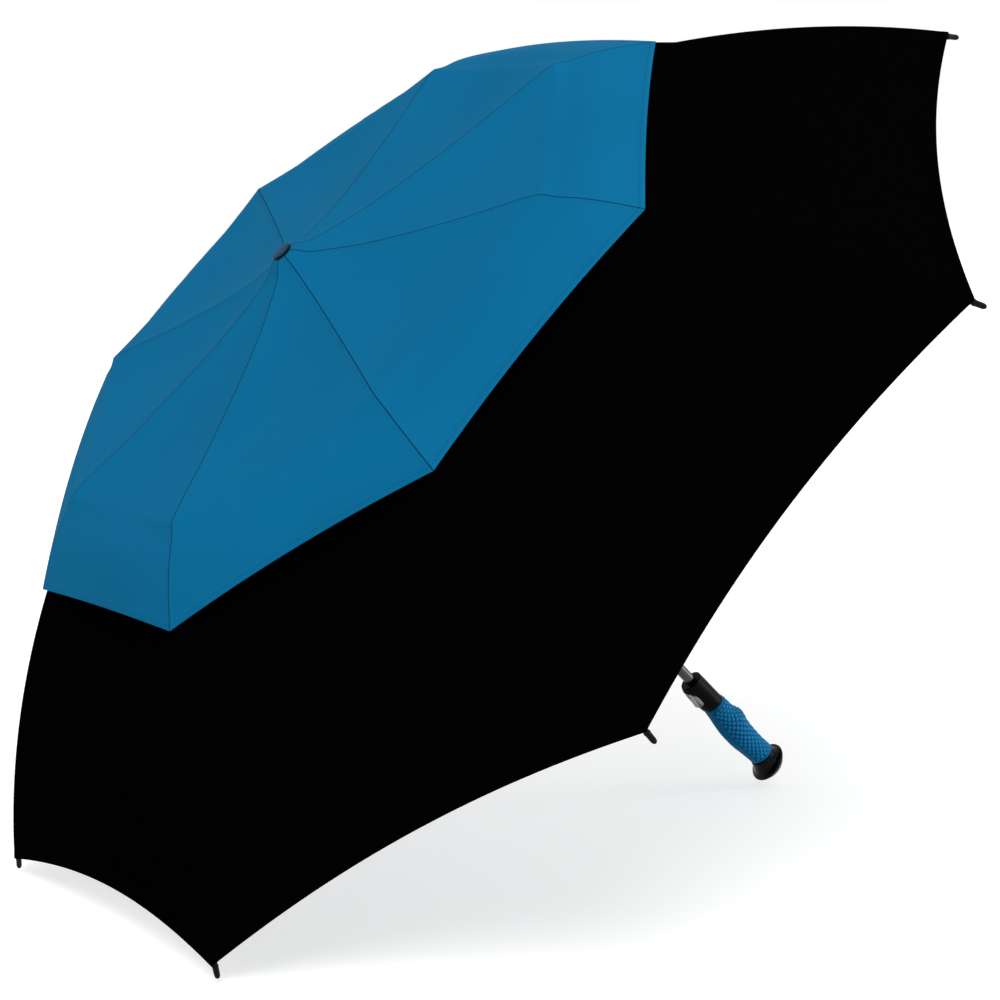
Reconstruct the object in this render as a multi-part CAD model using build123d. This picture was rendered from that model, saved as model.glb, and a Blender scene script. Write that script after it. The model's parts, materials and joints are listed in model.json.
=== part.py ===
from build123d import *
from math import asin, atan, atan2, cos, degrees, hypot, pi, radians, sin
import os

# A folding golf umbrella with eight ribs and a vented double canopy, standing open.
# The origin is on the shaft's axis at the middle of the grip, +Z runs up the shaft
# to the crown, and one rib lies over +X.  Sizes are in millimetres and degrees.

# --- Overall layout -----------------------------------------------------------------
RIBS = 8
CAP_TOP = 760.0  # top of the crown disc
COLLAR_TOP = 85.2
TIP_RADIUS = 640.0  # hem corner's distance from the shaft
TIP_DROP = 302.0  # hem corner below the crown disc's top
MAST_TRAVEL = 205.0  # slide of the upper tube into the lower one
CLEAR = 0.3  # gap between parts that move past each other
FIT = 0.05  # gap round a part that is seated in another

# --- Shaft --------------------------------------------------------------------------
LOWER_TUBE_OD = 12.0
LOWER_TUBE_WALL = 0.6
LOWER_TUBE_REACH = 330.0  # lower tube's length above the collar
TUBE_GAP = 0.4  # room between the two tubes, which the bushing fills
UPPER_TUBE_OD = LOWER_TUBE_OD - 2 * (LOWER_TUBE_WALL + TUBE_GAP)
UPPER_TUBE_WALL = 0.6
BUSHING_RIM = 1.5  # bushing's flange on the lower tube's mouth
BUSHING_DEPTH = 18.0
PLUG_GROOVE = 3.0  # height of the latch groove in the upper tube's plug
PLUG_NOSE = 3.0
SPRING_WIRE = 0.8

# --- Ribs ---------------------------------------------------------------------------
LINK_LENGTH = 155.5  # pivot to pivot along each channel link
LINK_SLOPE = 5.0  # links' fall from the crown when open
LINK_WIDTH = 4.4
LINK_HEIGHT = 4.5
LINK_WALL = 0.5
RIVET_RADIUS = 0.7
RIVET_HEAD = 1.3
RIVET_HEAD_THICK = 0.5
LUG_MARGIN = 1.3  # metal round a rivet
OUTER_BOW = 21.0  # rise of the outer rib's bow over its chord
ROD_RADIUS = 1.75
FERRULE_RADIUS = 2.3
FERRULE_LENGTH = 16.0
HEEL_REACH = 11.0  # heel plate's length from its rivet to the ferrule
CUP_WALL = 0.95
CUP_DEPTH = 7.0  # rod inside the cup, short of the hem corner
CUP_REACH = 17.0  # cup's length past the hem corner
STRETCHER_PIN = 130.0  # rivet on the inner link, from the crown wire
STRETCHER_WIDTH = 2.6
STRETCHER_HEIGHT = 3.0
STRETCHER_WALL = 0.6

# --- Crown and runner ---------------------------------------------------------------
CROWN_DROP = 29.0  # crown wire below the crown disc's top
WIRE_RADIUS = 0.6
WIRE_PLAY = 0.25  # gap round the wire in an eye
EYE_RADIUS = 2.2
EYE_THICK = 2.4
NOTCH_WALL = 1.5
NOTCH_RIM = 3.5  # notch outside its wire
NOTCH_HALF_HEIGHT = 4.0
NOTCH_NECK = 8.0
NOTCH_SHOULDER = 5.0  # height of the cone between the notch's slots and its neck
EDGE_BREAK = 1.0  # bevel on the turned plastic parts
DISC_RADIUS = 10.5
DISC_THICK = 2.4
STUD_RADIUS = 3.2
STUD_COLLAR = 1.5
STUD_DEPTH = 12.0
TUBE_TOP_DROP = 18.0  # upper tube's end below the crown disc's top
RUNNER_DROP = 85.0  # runner's wire below the crown's when open
RUNNER_WALL = 1.3
RUNNER_LENGTH = 38.0
RUNNER_FLANGE = 4.5
RUNNER_GRIP = 2.9  # runner's lower ring outside its sleeve
RUNNER_GRIP_BAND = 4.0
RUNNER_TAPER = 4.0  # from the lower ring to the sleeve
RUNNER_NECK = 6.0  # cone under the runner's slotted head

# --- Canopies -----------------------------------------------------------------------
FABRIC = 0.8
CAP_HEM_RADIUS = 408.0
VENT_RADIUS = 330.0  # inner edge of the lower canopy
CAP_HEM_DIP = 5.0  # hem's scallop between two ribs
LOWER_HEM_DIP = 15.0
LOWER_RISE = 3.9  # lower canopy's top over the outer rib's centre
CAP_RISE = 6.0  # cap's top over the ribs' centres
CAP_ELBOW_RISE = 8.5  # the same where the cloth is pushed up over the elbow
HEM_CORNER = 2.0  # straight hem beside each rib
CAP_SHOULDERS = ((30.0, 12.5), (60.0, 19.5), (100.0, 27.0))  # radius and drop at the crown
HEM_STEPS = 6

# --- Handle -------------------------------------------------------------------------
HANDLE_TURN = 157.5  # the button's direction about the shaft
# height, half width to the palm, to the fingers and to either side
GRIP_FORM = (
    (44.5, 12.4, 13.4, 12.8),
    (38.5, 13.1, 13.4, 13.0),
    (32.0, 14.0, 13.6, 13.4),
    (24.5, 15.3, 14.3, 13.9),
    (18.5, 16.2, 16.6, 14.3),
    (13.5, 16.8, 18.0, 14.6),
    (8.5, 17.1, 17.3, 14.8),
    (2.5, 17.2, 15.3, 14.8),
    (-5.5, 17.2, 14.1, 14.7),
    (-12.5, 16.8, 13.6, 14.5),
    (-26.5, 15.0, 13.3, 13.8),
    (-36.0, 14.0, 13.7, 13.6),
    (-44.5, 13.2, 14.7, 13.8),
)
GRIP_TOP = GRIP_FORM[0][0]
GRIP_BOTTOM = GRIP_FORM[-1][0]
# drop below the collar's top, half width to the button, to the back and to either side
COLLAR_FORM = (
    (0.0, 12.5, 12.3, 12.3),
    (7.5, 15.0, 12.4, 12.5),
    (15.0, 14.3, 12.5, 12.5),
    (30.5, 13.6, 12.5, 12.6),
    (39.5, 12.7, 12.7, 12.7),
)
COLLAR_ROUND = 1.5
NECK_RADIUS = 11.4
CORE_RADIUS = 9.5
CORE_SEAT = 8.0  # core's end inside the end cap
CORE_BOTTOM = GRIP_BOTTOM - CORE_SEAT
BUTTON_DROP = 19.0  # button's middle below the collar's top
BUTTON_LENGTH = 24.5
BUTTON_WIDTH = 18.0
BUTTON_FACE = 13.2  # button's face from the shaft's axis
BUTTON_THICK = 3.4
BUTTON_TRAVEL = 2.2
POCKET_FLOOR = 12.0  # recess round the button, from the axis
POCKET_MARGIN = 1.2
SPRING_BELOW = 8.0  # button springs below the button's middle
SPRING_RADIUS = 1.5
SPRING_WIRE_SMALL = 0.25
SPRING_TURNS = 4
SPRING_TUCK = 0.1
SPRING_SIDE = LOWER_TUBE_OD / 2 + SPRING_RADIUS - SPRING_TUCK
SPRING_SEAT = LOWER_TUBE_OD / 4
LATCH_THICK = 1.5
LATCH_ABOVE = 4.0
LATCH_RIM = 1.7
LATCH_REACH = UPPER_TUBE_OD / 2 - UPPER_TUBE_WALL  # latch tooth's tip from the axis
LATCH_WIDTH = 3.0
CAP_TILT = 12.0
CAP_SHIFT = 1.0  # end cap's rim off the axis, towards the palm
CAP_FLARE = ((0.35, 15.0), (0.7, 17.2))  # share of the way to the rim, and radius
RIM_DROP = 12.5  # end cap's rim below the grip
RIM_RADIUS = 22.0
RIM_ROUND = 1.5
RIM_EDGE = 3.0  # depth of the rim's rounded edge
DOME_DEPTH = 14.0
END_DROP = 12.5  # the flat on the dome below the rim
SPIGOT_LENGTH = 10.0

# --- Heights and points that follow -------------------------------------------------
NOTCH_RADIUS = UPPER_TUBE_OD / 2 + NOTCH_WALL + CLEAR + EYE_RADIUS
RUNNER_BORE = LOWER_TUBE_OD / 2 + CLEAR
RUNNER_SLEEVE = RUNNER_BORE + RUNNER_WALL
RUNNER_RADIUS = RUNNER_SLEEVE + 2 * CLEAR + EYE_RADIUS
CROWN_Z = CAP_TOP - CROWN_DROP
RUNNER_Z = CROWN_Z - RUNNER_DROP
LOWER_TUBE_TOP = COLLAR_TOP + LOWER_TUBE_REACH
COLLAR_BOTTOM = COLLAR_TOP - COLLAR_FORM[-1][0]
PIVOT_OFFSET = (LINK_HEIGHT + CLEAR) / 2
LUG_RADIUS = RIVET_RADIUS + LUG_MARGIN
TONGUE_WIDTH = LINK_WIDTH - 2 * LINK_WALL - 2 * CLEAR
LATCH_Z = COLLAR_TOP - BUTTON_DROP + LATCH_ABOVE
PLUG_Z = LATCH_Z + MAST_TRAVEL  # the plug's groove when the mast is drawn out
HANDLE = Rot(0, 0, HANDLE_TURN)


def along(point, slope, run, rise=0.0):
    """The point RUN down a slope and RISE off it, as radius and height."""
    angle = radians(slope)
    return (
        point[0] + run * cos(angle) + rise * sin(angle),
        point[1] - run * sin(angle) + rise * cos(angle),
    )


CROWN_PIVOT = (NOTCH_RADIUS, CROWN_Z)
RUNNER_PIVOT = (RUNNER_RADIUS, RUNNER_Z)
KNEE = along(CROWN_PIVOT, LINK_SLOPE, LINK_LENGTH)
ELBOW = along(CROWN_PIVOT, LINK_SLOPE, 2 * LINK_LENGTH, -PIVOT_OFFSET)
PIN = along(CROWN_PIVOT, LINK_SLOPE, STRETCHER_PIN)
HEM_TIP = (TIP_RADIUS, CAP_TOP - TIP_DROP)


class Bow:
    """The outer rib's circular bow, from the elbow rivet to the hem corner."""

    def __init__(self, start, corner, bow, rise):
        chord = hypot(corner[0] - start[0], corner[1] - start[1])
        half = 2 * degrees(atan(2 * bow / chord))
        fall = degrees(atan2(start[1] - corner[1], corner[0] - start[0]))
        end = along(corner, fall + half, 0, -rise)
        self.chord = hypot(end[0] - start[0], end[1] - start[1])
        self.fall = degrees(atan2(start[1] - end[1], end[0] - start[0]))
        half = 2 * degrees(atan(2 * bow / self.chord))
        self.start_slope, self.end_slope = self.fall - half, self.fall + half
        self.radius = self.chord / 2 / sin(radians(half))
        self.center = along(start, self.start_slope, 0, -self.radius)

    def at(self, slope, rise=0.0):
        """The point of the bow with this slope, RISE outside its centre line."""
        return along(self.center, slope, 0, self.radius + rise)

    def slope_at(self, radius, rise=0.0):
        """The slope where the bow, raised by RISE, is at this distance from the shaft."""
        return degrees(asin((radius - self.center[0]) / (self.radius + rise)))


BOW = Bow(ELBOW, HEM_TIP, OUTER_BOW, LOWER_RISE)


def ring(outer, inner, bottom, top):
    """A plain ring or tube about the shaft."""
    blank = Cylinder(outer, top - bottom) - Cylinder(inner, top - bottom)
    return Pos(0, 0, (bottom + top) / 2) * blank


def disc(radius, bottom, top):
    """A plain disc or rod about the shaft."""
    return Pos(0, 0, (bottom + top) / 2) * Cylinder(radius, top - bottom)


def turned(*points):
    """A solid turned about the shaft from its half section's corners."""
    return revolve(make_face(Plane.XZ * Polyline(*points, close=True)), Axis.Z)


def plate(sketch, width):
    """A plate of this width, centred on the rib's plane, from its side view."""
    return extrude(Plane.XZ * sketch, width / 2, both=True)


def side_box(x0, x1, z0, z1):
    """A rectangle of a side view."""
    return Pos((x0 + x1) / 2, (z0 + z1) / 2) * Rectangle(x1 - x0, z1 - z0)


def pin_hole(x, z, radius):
    """A bore across the rib."""
    return Pos(x, 0, z) * Rot(90, 0, 0) * Cylinder(radius, 2 * LINK_WIDTH)


def rivet(x, z):
    """A rivet across a link, with a flat head on either side."""
    length = LINK_WIDTH + 2 * RIVET_HEAD_THICK
    body = Cylinder(RIVET_RADIUS, length)
    head = Cylinder(RIVET_HEAD, RIVET_HEAD_THICK)
    for side in (-1, 1):
        body += Pos(0, 0, side * (length - RIVET_HEAD_THICK) / 2) * head
    return Pos(x, 0, z) * Rot(90, 0, 0) * body


def set_down(part, point, slope):
    """Places a link, drawn along +X, at a point of the rib's plane."""
    return Pos(point[0], 0, point[1]) * Rot(0, slope, 0) * part


def channel(start, end, lug):
    """A steel channel along X, open below, with rivet lugs round one point."""
    half = LINK_HEIGHT / 2
    side = side_box(start, end, -half, half)
    reach = abs(lug[1])
    top, bottom = max(lug[1], 0), min(lug[1], 0)
    cheek = side_box(lug[0] - 3 * LUG_RADIUS, lug[0], -half, half)
    side += cheek + Pos(*lug) * Circle(LUG_RADIUS)
    side += side_box(lug[0] - LUG_RADIUS, lug[0] + LUG_RADIUS, bottom, top)
    body = plate(side, LINK_WIDTH)
    inside = side_box(start - 1, end + reach + LUG_RADIUS, -half - reach - LUG_RADIUS, half - LINK_WALL)
    return body - plate(inside, LINK_WIDTH - 2 * LINK_WALL)


def inner_link():
    """The channel from the crown wire to the knee, with the stretcher's rivet."""
    half = LINK_HEIGHT / 2
    link = channel(NOTCH_RIM + EYE_RADIUS + LUG_RADIUS, LINK_LENGTH, (LINK_LENGTH, PIVOT_OFFSET))
    relief = side_box(LINK_LENGTH - LUG_RADIUS - 2 * CLEAR, LINK_LENGTH + 2 * LUG_RADIUS,
                      half - 2 * LINK_WALL, half + 2 * LUG_RADIUS)
    link -= plate(relief, LINK_WIDTH - 2 * LINK_WALL)
    eye = Circle(EYE_RADIUS) + side_box(0, 8 * EYE_RADIUS, -EYE_RADIUS + LINK_WALL, half)
    link += plate(eye, EYE_THICK)
    link -= pin_hole(0, 0, WIRE_RADIUS + WIRE_PLAY)
    link -= pin_hole(LINK_LENGTH, PIVOT_OFFSET, RIVET_RADIUS + FIT)
    link -= pin_hole(STRETCHER_PIN, 0, RIVET_RADIUS + FIT)
    rivets = [rivet(LINK_LENGTH, PIVOT_OFFSET), rivet(STRETCHER_PIN, 0)]
    return [set_down(piece, CROWN_PIVOT, LINK_SLOPE) for piece in [link, *rivets]]


def middle_link():
    """The channel from the knee to the elbow, hung on a tongue inside the inner link."""
    half = LINK_HEIGHT / 2
    link = channel(4 * LUG_RADIUS, LINK_LENGTH + LUG_RADIUS, (LINK_LENGTH, -PIVOT_OFFSET))
    tongue = Pos(0, PIVOT_OFFSET) * Circle(LUG_RADIUS)
    tongue += side_box(0, 7 * LUG_RADIUS, -half + 2 * LINK_WALL, half)
    link += plate(tongue, TONGUE_WIDTH)
    link -= pin_hole(0, PIVOT_OFFSET, RIVET_RADIUS + CLEAR / 2)
    link -= pin_hole(LINK_LENGTH, -PIVOT_OFFSET, RIVET_RADIUS + FIT)
    pieces = [link, rivet(LINK_LENGTH, -PIVOT_OFFSET)]
    return [set_down(piece, KNEE, LINK_SLOPE) for piece in pieces]


def outer_rib():
    """The bowed fibreglass rod in its ferrule, which ends in a heel plate at the elbow."""
    seat = BOW.start_slope + degrees(HEEL_REACH / BOW.radius)
    heel = Circle(LUG_RADIUS) + side_box(0, HEEL_REACH + LUG_RADIUS, -ROD_RADIUS, ROD_RADIUS)
    blank = plate(heel, TONGUE_WIDTH) - pin_hole(0, 0, RIVET_RADIUS + CLEAR / 2)
    ferrule = Pos(HEEL_REACH + FERRULE_LENGTH / 2, 0, 0) * Rot(0, 90, 0) * (
        Cylinder(FERRULE_RADIUS, FERRULE_LENGTH))
    rod_start = BOW.at(seat + degrees(2 * LUG_RADIUS / BOW.radius))
    middle = BOW.at(BOW.fall)
    end = BOW.at(BOW.end_slope)
    path = Plane.XZ * ThreePointArc(rod_start, middle, end)
    section = Plane(path @ 0, z_dir=path % 0)
    rod = sweep(section * Circle(ROD_RADIUS), path)
    bore = sweep(section * Circle(ROD_RADIUS + FIT), path)
    fitting = set_down(blank + ferrule, ELBOW, BOW.start_slope)
    return [fitting - bore, rod]


def tip_cup():
    """The moulded cup on a rib's end, with a shoulder for the hem's thread."""
    bore, wall = ROD_RADIUS + FIT, ROD_RADIUS + FIT + CUP_WALL
    start, end = -CUP_DEPTH, CUP_REACH
    round_end = RadiusArc((wall, end - wall), (0, end), -wall)
    outline = Polyline((0, end), (0, start), (wall - CUP_WALL / 3, start),
                       (wall, start + CUP_WALL), (wall, end - wall))
    cup = revolve(make_face(Plane.XZ * (outline + round_end)), Axis.Z)
    cup = Rot(0, 90, 0) * cup
    cup = set_down(cup, BOW.at(BOW.end_slope), BOW.end_slope)
    path = Plane.XZ * ThreePointArc(BOW.at(BOW.fall), BOW.at((BOW.fall + BOW.end_slope) / 2),
                                    BOW.at(BOW.end_slope))
    section = Plane(path @ 1, z_dir=path % 1)
    rod_hole = sweep(section * Circle(bore), path)
    return cup - rod_hole - extrude(section * Circle(bore), FIT)


def stretcher():
    """The strut from the runner's wire to the inner link, a channel open above."""
    slope = -degrees(atan2(PIN[1] - RUNNER_PIVOT[1], PIN[0] - RUNNER_PIVOT[0]))
    length = hypot(PIN[0] - RUNNER_PIVOT[0], PIN[1] - RUNNER_PIVOT[1])
    half = STRETCHER_HEIGHT / 2
    end = half + RIVET_RADIUS
    side = Circle(EYE_RADIUS) + side_box(0, length, -half, half) + Pos(length, 0) * Circle(half)
    strut = plate(side, STRETCHER_WIDTH)
    trough = side_box(4 * end, length - 3 * end, -half + STRETCHER_WALL, half + 1)
    strut -= plate(trough, STRETCHER_WIDTH - 2 * STRETCHER_WALL)
    strut -= pin_hole(0, 0, WIRE_RADIUS + WIRE_PLAY)
    strut -= pin_hole(length, 0, RIVET_RADIUS + CLEAR / 2)
    return set_down(strut, RUNNER_PIVOT, slope)


def rib_slots(floor, reach, width, bottom, top):
    """The slots that the ribs' or stretchers' eyes swing in, as cutters."""
    box = Box(reach - floor, width, top - bottom, align=(Align.MIN, Align.CENTER, Align.MIN))
    return [Rot(0, 0, 360 / RIBS * k) * Pos(floor, 0, bottom) * box for k in range(RIBS)]


def wire_groove(radius, height, bottom):
    """The groove that a pivot wire lies in, open below, as a cutter."""
    half = WIRE_RADIUS + FIT
    return ring(radius + half, radius - half, bottom, height + half)


def crown_notch():
    """The slotted boss on the upper tube that carries the crown wire."""
    rim = NOTCH_RADIUS + NOTCH_RIM
    low, high = CROWN_Z - NOTCH_HALF_HEIGHT, CROWN_Z + NOTCH_HALF_HEIGHT
    top = CAP_TOP - DISC_THICK - FABRIC - 2 * CLEAR
    boss = turned((0, low), (rim - EDGE_BREAK, low), (rim, low + EDGE_BREAK), (rim, high),
                  (NOTCH_NECK, high + NOTCH_SHOULDER), (NOTCH_NECK, top - EDGE_BREAK),
                  (NOTCH_NECK - EDGE_BREAK, top), (0, top))
    boss -= disc(UPPER_TUBE_OD / 2 + FIT, low, CAP_TOP - TUBE_TOP_DROP)
    boss -= disc(STUD_RADIUS + FIT, CAP_TOP - TUBE_TOP_DROP - CLEAR, top)
    floor = UPPER_TUBE_OD / 2 + NOTCH_WALL
    boss -= rib_slots(floor, 2 * rim, EYE_THICK + 2 * CLEAR, low, high + FIT)
    return boss - wire_groove(NOTCH_RADIUS, CROWN_Z, low)


def wire(radius, height):
    """The ring of wire that the eyes turn on."""
    return Pos(0, 0, height) * Torus(radius, WIRE_RADIUS)


def crown_cap():
    """The flat disc over the fabric, with a stud down into the notch."""
    bottom = CAP_TOP - DISC_THICK
    notch_top = bottom - FABRIC - 2 * CLEAR
    cap = disc(DISC_RADIUS, bottom, CAP_TOP)
    cap = fillet(cap.edges().group_by(Axis.Z)[-1], DISC_THICK / 3)
    cap += disc(STUD_RADIUS + STUD_COLLAR, notch_top, bottom)
    return cap + disc(STUD_RADIUS, CAP_TOP - STUD_DEPTH, notch_top)


def runner():
    """The slotted sleeve that drives the stretchers along the tubes."""
    rim = RUNNER_RADIUS + RUNNER_FLANGE - EDGE_BREAK
    low, high = RUNNER_Z - RUNNER_FLANGE, RUNNER_Z + RUNNER_FLANGE
    foot = RUNNER_Z - RUNNER_LENGTH
    grip = RUNNER_SLEEVE + RUNNER_GRIP
    band = foot + RUNNER_GRIP_BAND
    body = turned((RUNNER_BORE, foot), (grip - EDGE_BREAK, foot), (grip, foot + EDGE_BREAK),
                  (grip, band), (RUNNER_SLEEVE, band + RUNNER_TAPER),
                  (RUNNER_SLEEVE, low - RUNNER_NECK), (rim, low), (rim, high), (RUNNER_BORE, high))
    body -= rib_slots(RUNNER_SLEEVE, 2 * rim, STRETCHER_WIDTH + 2 * CLEAR, low, high + CLEAR)
    return body - wire_groove(RUNNER_RADIUS, RUNNER_Z, low)


def polygon_stack(profile, drop=0.0):
    """A solid whose level sections are polygons with a corner over every rib."""
    sections = [Pos(0, 0, height - drop) * RegularPolygon(radius, RIBS) for radius, height in profile]
    return loft(sections, ruled=True)


def hem_cutters(corner, dip):
    """Upright cylinders that scallop a hem between the ribs."""
    half_chord = corner[0] * sin(pi / RIBS) - HEM_CORNER
    radius = (half_chord ** 2 + dip ** 2) / (2 * dip)
    reach = corner[0] * cos(pi / RIBS) - dip + radius
    blank = Cylinder(radius, TIP_DROP)
    return [Rot(0, 0, 360 / RIBS * (k + 0.5)) * Pos(reach, 0, corner[1]) * blank
            for k in range(RIBS)]


def fabric_shell(profile, dip):
    """A canopy's skin, from its profile over a rib, open at its middle."""
    skin = polygon_stack(profile) - polygon_stack(profile, FABRIC)
    radius, height = profile[0]
    hole = Pos(0, 0, height) * extrude(RegularPolygon(radius + FIT, RIBS), 2 * FABRIC, both=True)
    return skin - hole - hem_cutters(profile[-1], dip)


def bow_profile(first, last, rise):
    """Points over the outer rib between two slopes."""
    return [BOW.at(first + (last - first) * i / HEM_STEPS, rise) for i in range(HEM_STEPS + 1)]


def lower_canopy():
    """The main canopy, from the vent to the tips."""
    first = BOW.slope_at(VENT_RADIUS, LOWER_RISE)
    return fabric_shell(bow_profile(first, BOW.end_slope, LOWER_RISE), LOWER_HEM_DIP)


def cap_canopy():
    """The vent cap, from the crown disc over the lower canopy's open middle."""
    hole = (STUD_RADIUS + STUD_COLLAR + CLEAR) / cos(pi / RIBS)
    under_disc = CAP_TOP - DISC_THICK - CLEAR
    profile = [(hole, under_disc), (DISC_RADIUS, under_disc - CLEAR)]
    profile += [(radius, CAP_TOP - drop) for radius, drop in CAP_SHOULDERS]
    profile += [along(KNEE, LINK_SLOPE, run, CAP_RISE) for run in (0, LINK_LENGTH / 2)]
    profile.append(along(KNEE, LINK_SLOPE, LINK_LENGTH, CAP_ELBOW_RISE))
    first = BOW.slope_at((ELBOW[0] + CAP_HEM_RADIUS) / 2, CAP_ELBOW_RISE)
    last = BOW.slope_at(CAP_HEM_RADIUS, CAP_ELBOW_RISE)
    profile += bow_profile(first, last, CAP_ELBOW_RISE)[::HEM_STEPS // 2]
    return fabric_shell(profile, CAP_HEM_DIP)


def tube_bushing():
    """The plastic bushing in the lower tube's mouth that guides the upper tube."""
    bore = UPPER_TUBE_OD / 2 + 2 * FIT
    seat = LOWER_TUBE_OD / 2 - LOWER_TUBE_WALL - FIT
    rim = ring(LOWER_TUBE_OD / 2, bore, LOWER_TUBE_TOP, LOWER_TUBE_TOP + BUSHING_RIM)
    rim = chamfer(rim.edges().group_by(Axis.Z)[-1].sort_by(SortBy.RADIUS)[-1:], BUSHING_RIM / 4)
    return rim + ring(seat, bore, LOWER_TUBE_TOP - BUSHING_DEPTH, LOWER_TUBE_TOP)


def lower_tube():
    """The outer tube, with the window that the latch's tooth comes through."""
    outer = LOWER_TUBE_OD / 2
    tube = ring(outer, outer - LOWER_TUBE_WALL, CORE_BOTTOM, LOWER_TUBE_TOP)
    window = Box(outer, LATCH_WIDTH + 2 * CLEAR, LATCH_THICK + 2 * CLEAR)
    return tube - HANDLE * Pos(-outer, 0, LATCH_Z) * window


def plug_top():
    """Height of the plug's shoulder, which the upper tube stands on."""
    return PLUG_Z + PLUG_GROOVE


def upper_tube():
    """The inner tube, which carries the crown and slides into the lower one."""
    outer = UPPER_TUBE_OD / 2
    return ring(outer, outer - UPPER_TUBE_WALL, plug_top(), CAP_TOP - TUBE_TOP_DROP)


def tube_plug():
    """The plug in the upper tube's foot, with the groove that the latch drops into."""
    seat = UPPER_TUBE_OD / 2 - UPPER_TUBE_WALL - FIT
    rim = UPPER_TUBE_OD / 2
    neck = LATCH_REACH - 2 * CLEAR
    low, high = PLUG_Z - PLUG_GROOVE / 2, PLUG_Z + PLUG_GROOVE / 2
    return turned((0, low - PLUG_NOSE), (neck, low - PLUG_NOSE), (rim, low - 1), (rim, low),
                  (neck, low), (neck, high), (rim, high), (rim, plug_top()),
                  (seat, plug_top()), (seat, plug_top() + 2 * PLUG_NOSE),
                  (0, plug_top() + 2 * PLUG_NOSE))


def opening_spring():
    """The long spring that drives the mast out, as the sleeve that its coils fill."""
    outer = LATCH_REACH - 2 * CLEAR
    bottom = CORE_BOTTOM + SPIGOT_LENGTH
    top = PLUG_Z - PLUG_GROOVE / 2 - PLUG_NOSE - FIT
    return ring(outer, outer - SPRING_WIRE, bottom, top)


def egg(height, front, back, side):
    """An oval section of the handle, wider towards the button or the fingers."""
    return Pos((front - back) / 2, 0, height) * Ellipse((front + back) / 2, side)


def pill(length, width, inner, outer, height):
    """An upright pill-shaped block from one distance from the axis to another."""
    base = Plane(origin=(inner, 0, height), x_dir=(0, 0, 1), z_dir=(1, 0, 0))
    return extrude(base * SlotOverall(length, width), outer - inner)


def handle_grip():
    """The rubber grip, with a ridge before the first finger and a swell for the palm."""
    grip = loft([egg(*row) for row in GRIP_FORM])
    bore = disc(CORE_RADIUS + FIT, GRIP_BOTTOM, GRIP_TOP)
    return HANDLE * (grip - bore)


def handle_core():
    """The plastic tube inside the grip that holds the shaft."""
    core = ring(CORE_RADIUS, LOWER_TUBE_OD / 2 + FIT, CORE_BOTTOM, COLLAR_BOTTOM - FIT)
    neck = ring(NECK_RADIUS, CORE_RADIUS, GRIP_TOP + FIT, COLLAR_BOTTOM - FIT)
    return core + neck


def latch_outline(grow):
    """The latch plate's outline seen from above, made larger by GROW."""
    radius = LOWER_TUBE_OD / 2 + CLEAR + LATCH_RIM
    reach = BUTTON_FACE - BUTTON_THICK - radius
    blank = Circle(radius + grow) + Pos(reach, 0) * Circle(radius + grow)
    return blank + Pos(reach / 2, 0) * Rectangle(abs(reach) + FIT, 2 * (radius + grow))


def latch_plate():
    """The sliding plate behind the button, whose tooth holds the closed mast."""
    travel = BUTTON_TRAVEL + CLEAR / 2
    bore = LOWER_TUBE_OD / 2 + CLEAR
    blank = latch_outline(0) - Circle(bore) - Pos(travel, 0) * Circle(bore)
    blank -= Pos(travel / 2, 0) * Rectangle(travel, 2 * bore)
    tooth = Pos(-(LATCH_REACH + bore + LATCH_RIM / 2) / 2, 0) * Rectangle(
        bore + LATCH_RIM / 2 - LATCH_REACH, LATCH_WIDTH)
    body = extrude(blank + tooth, LATCH_THICK / 2, both=True)
    return HANDLE * Pos(0, 0, LATCH_Z) * body


def handle_collar():
    """The moulded collar, with a brow over the button's recess."""
    rows = [(COLLAR_TOP - drop, *rest) for drop, *rest in COLLAR_FORM]
    collar = loft([egg(*row) for row in rows])
    collar = fillet(collar.edges().group_by(Axis.Z)[-1], COLLAR_ROUND)
    height = COLLAR_TOP - BUTTON_DROP
    back = BUTTON_FACE - BUTTON_THICK - BUTTON_TRAVEL - CLEAR
    collar -= disc(LOWER_TUBE_OD / 2 + FIT, COLLAR_BOTTOM, COLLAR_TOP)
    collar -= pill(BUTTON_LENGTH + 2 * POCKET_MARGIN, BUTTON_WIDTH + 2 * POCKET_MARGIN,
                   POCKET_FLOOR, 2 * BUTTON_FACE, height)
    collar -= pill(BUTTON_LENGTH + 2 * CLEAR, BUTTON_WIDTH + 2 * CLEAR, back, BUTTON_FACE, height)
    slide = latch_outline(CLEAR) + Pos(-BUTTON_TRAVEL, 0) * latch_outline(CLEAR)
    collar -= Pos(0, 0, LATCH_Z) * extrude(slide, LATCH_THICK / 2 + CLEAR, both=True)
    for side in (-1, 1):
        drill = Cylinder(SPRING_RADIUS + SPRING_WIRE_SMALL + CLEAR, BUTTON_FACE - SPRING_SEAT,
                         align=(Align.CENTER, Align.CENTER, Align.MIN))
        collar -= spring_place(side) * drill
    return HANDLE * collar


def spring_place(side):
    """Where a button spring stands, with its axis towards the button."""
    height = COLLAR_TOP - BUTTON_DROP - SPRING_BELOW
    return Pos(SPRING_SEAT, side * SPRING_SIDE, height) * Rot(0, 90, 0)


def button_springs():
    """The pair of coil springs behind the button."""
    length = BUTTON_FACE - BUTTON_THICK - SPRING_SEAT
    inset = SPRING_WIRE_SMALL + FIT
    path = Helix((length - 2 * inset) / SPRING_TURNS, length - 2 * inset, SPRING_RADIUS)
    coil = sweep(Plane(path @ 0, z_dir=path % 0) * Circle(SPRING_WIRE_SMALL), path)
    return [HANDLE * spring_place(side) * Pos(0, 0, inset) * coil for side in (-1, 1)]


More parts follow.
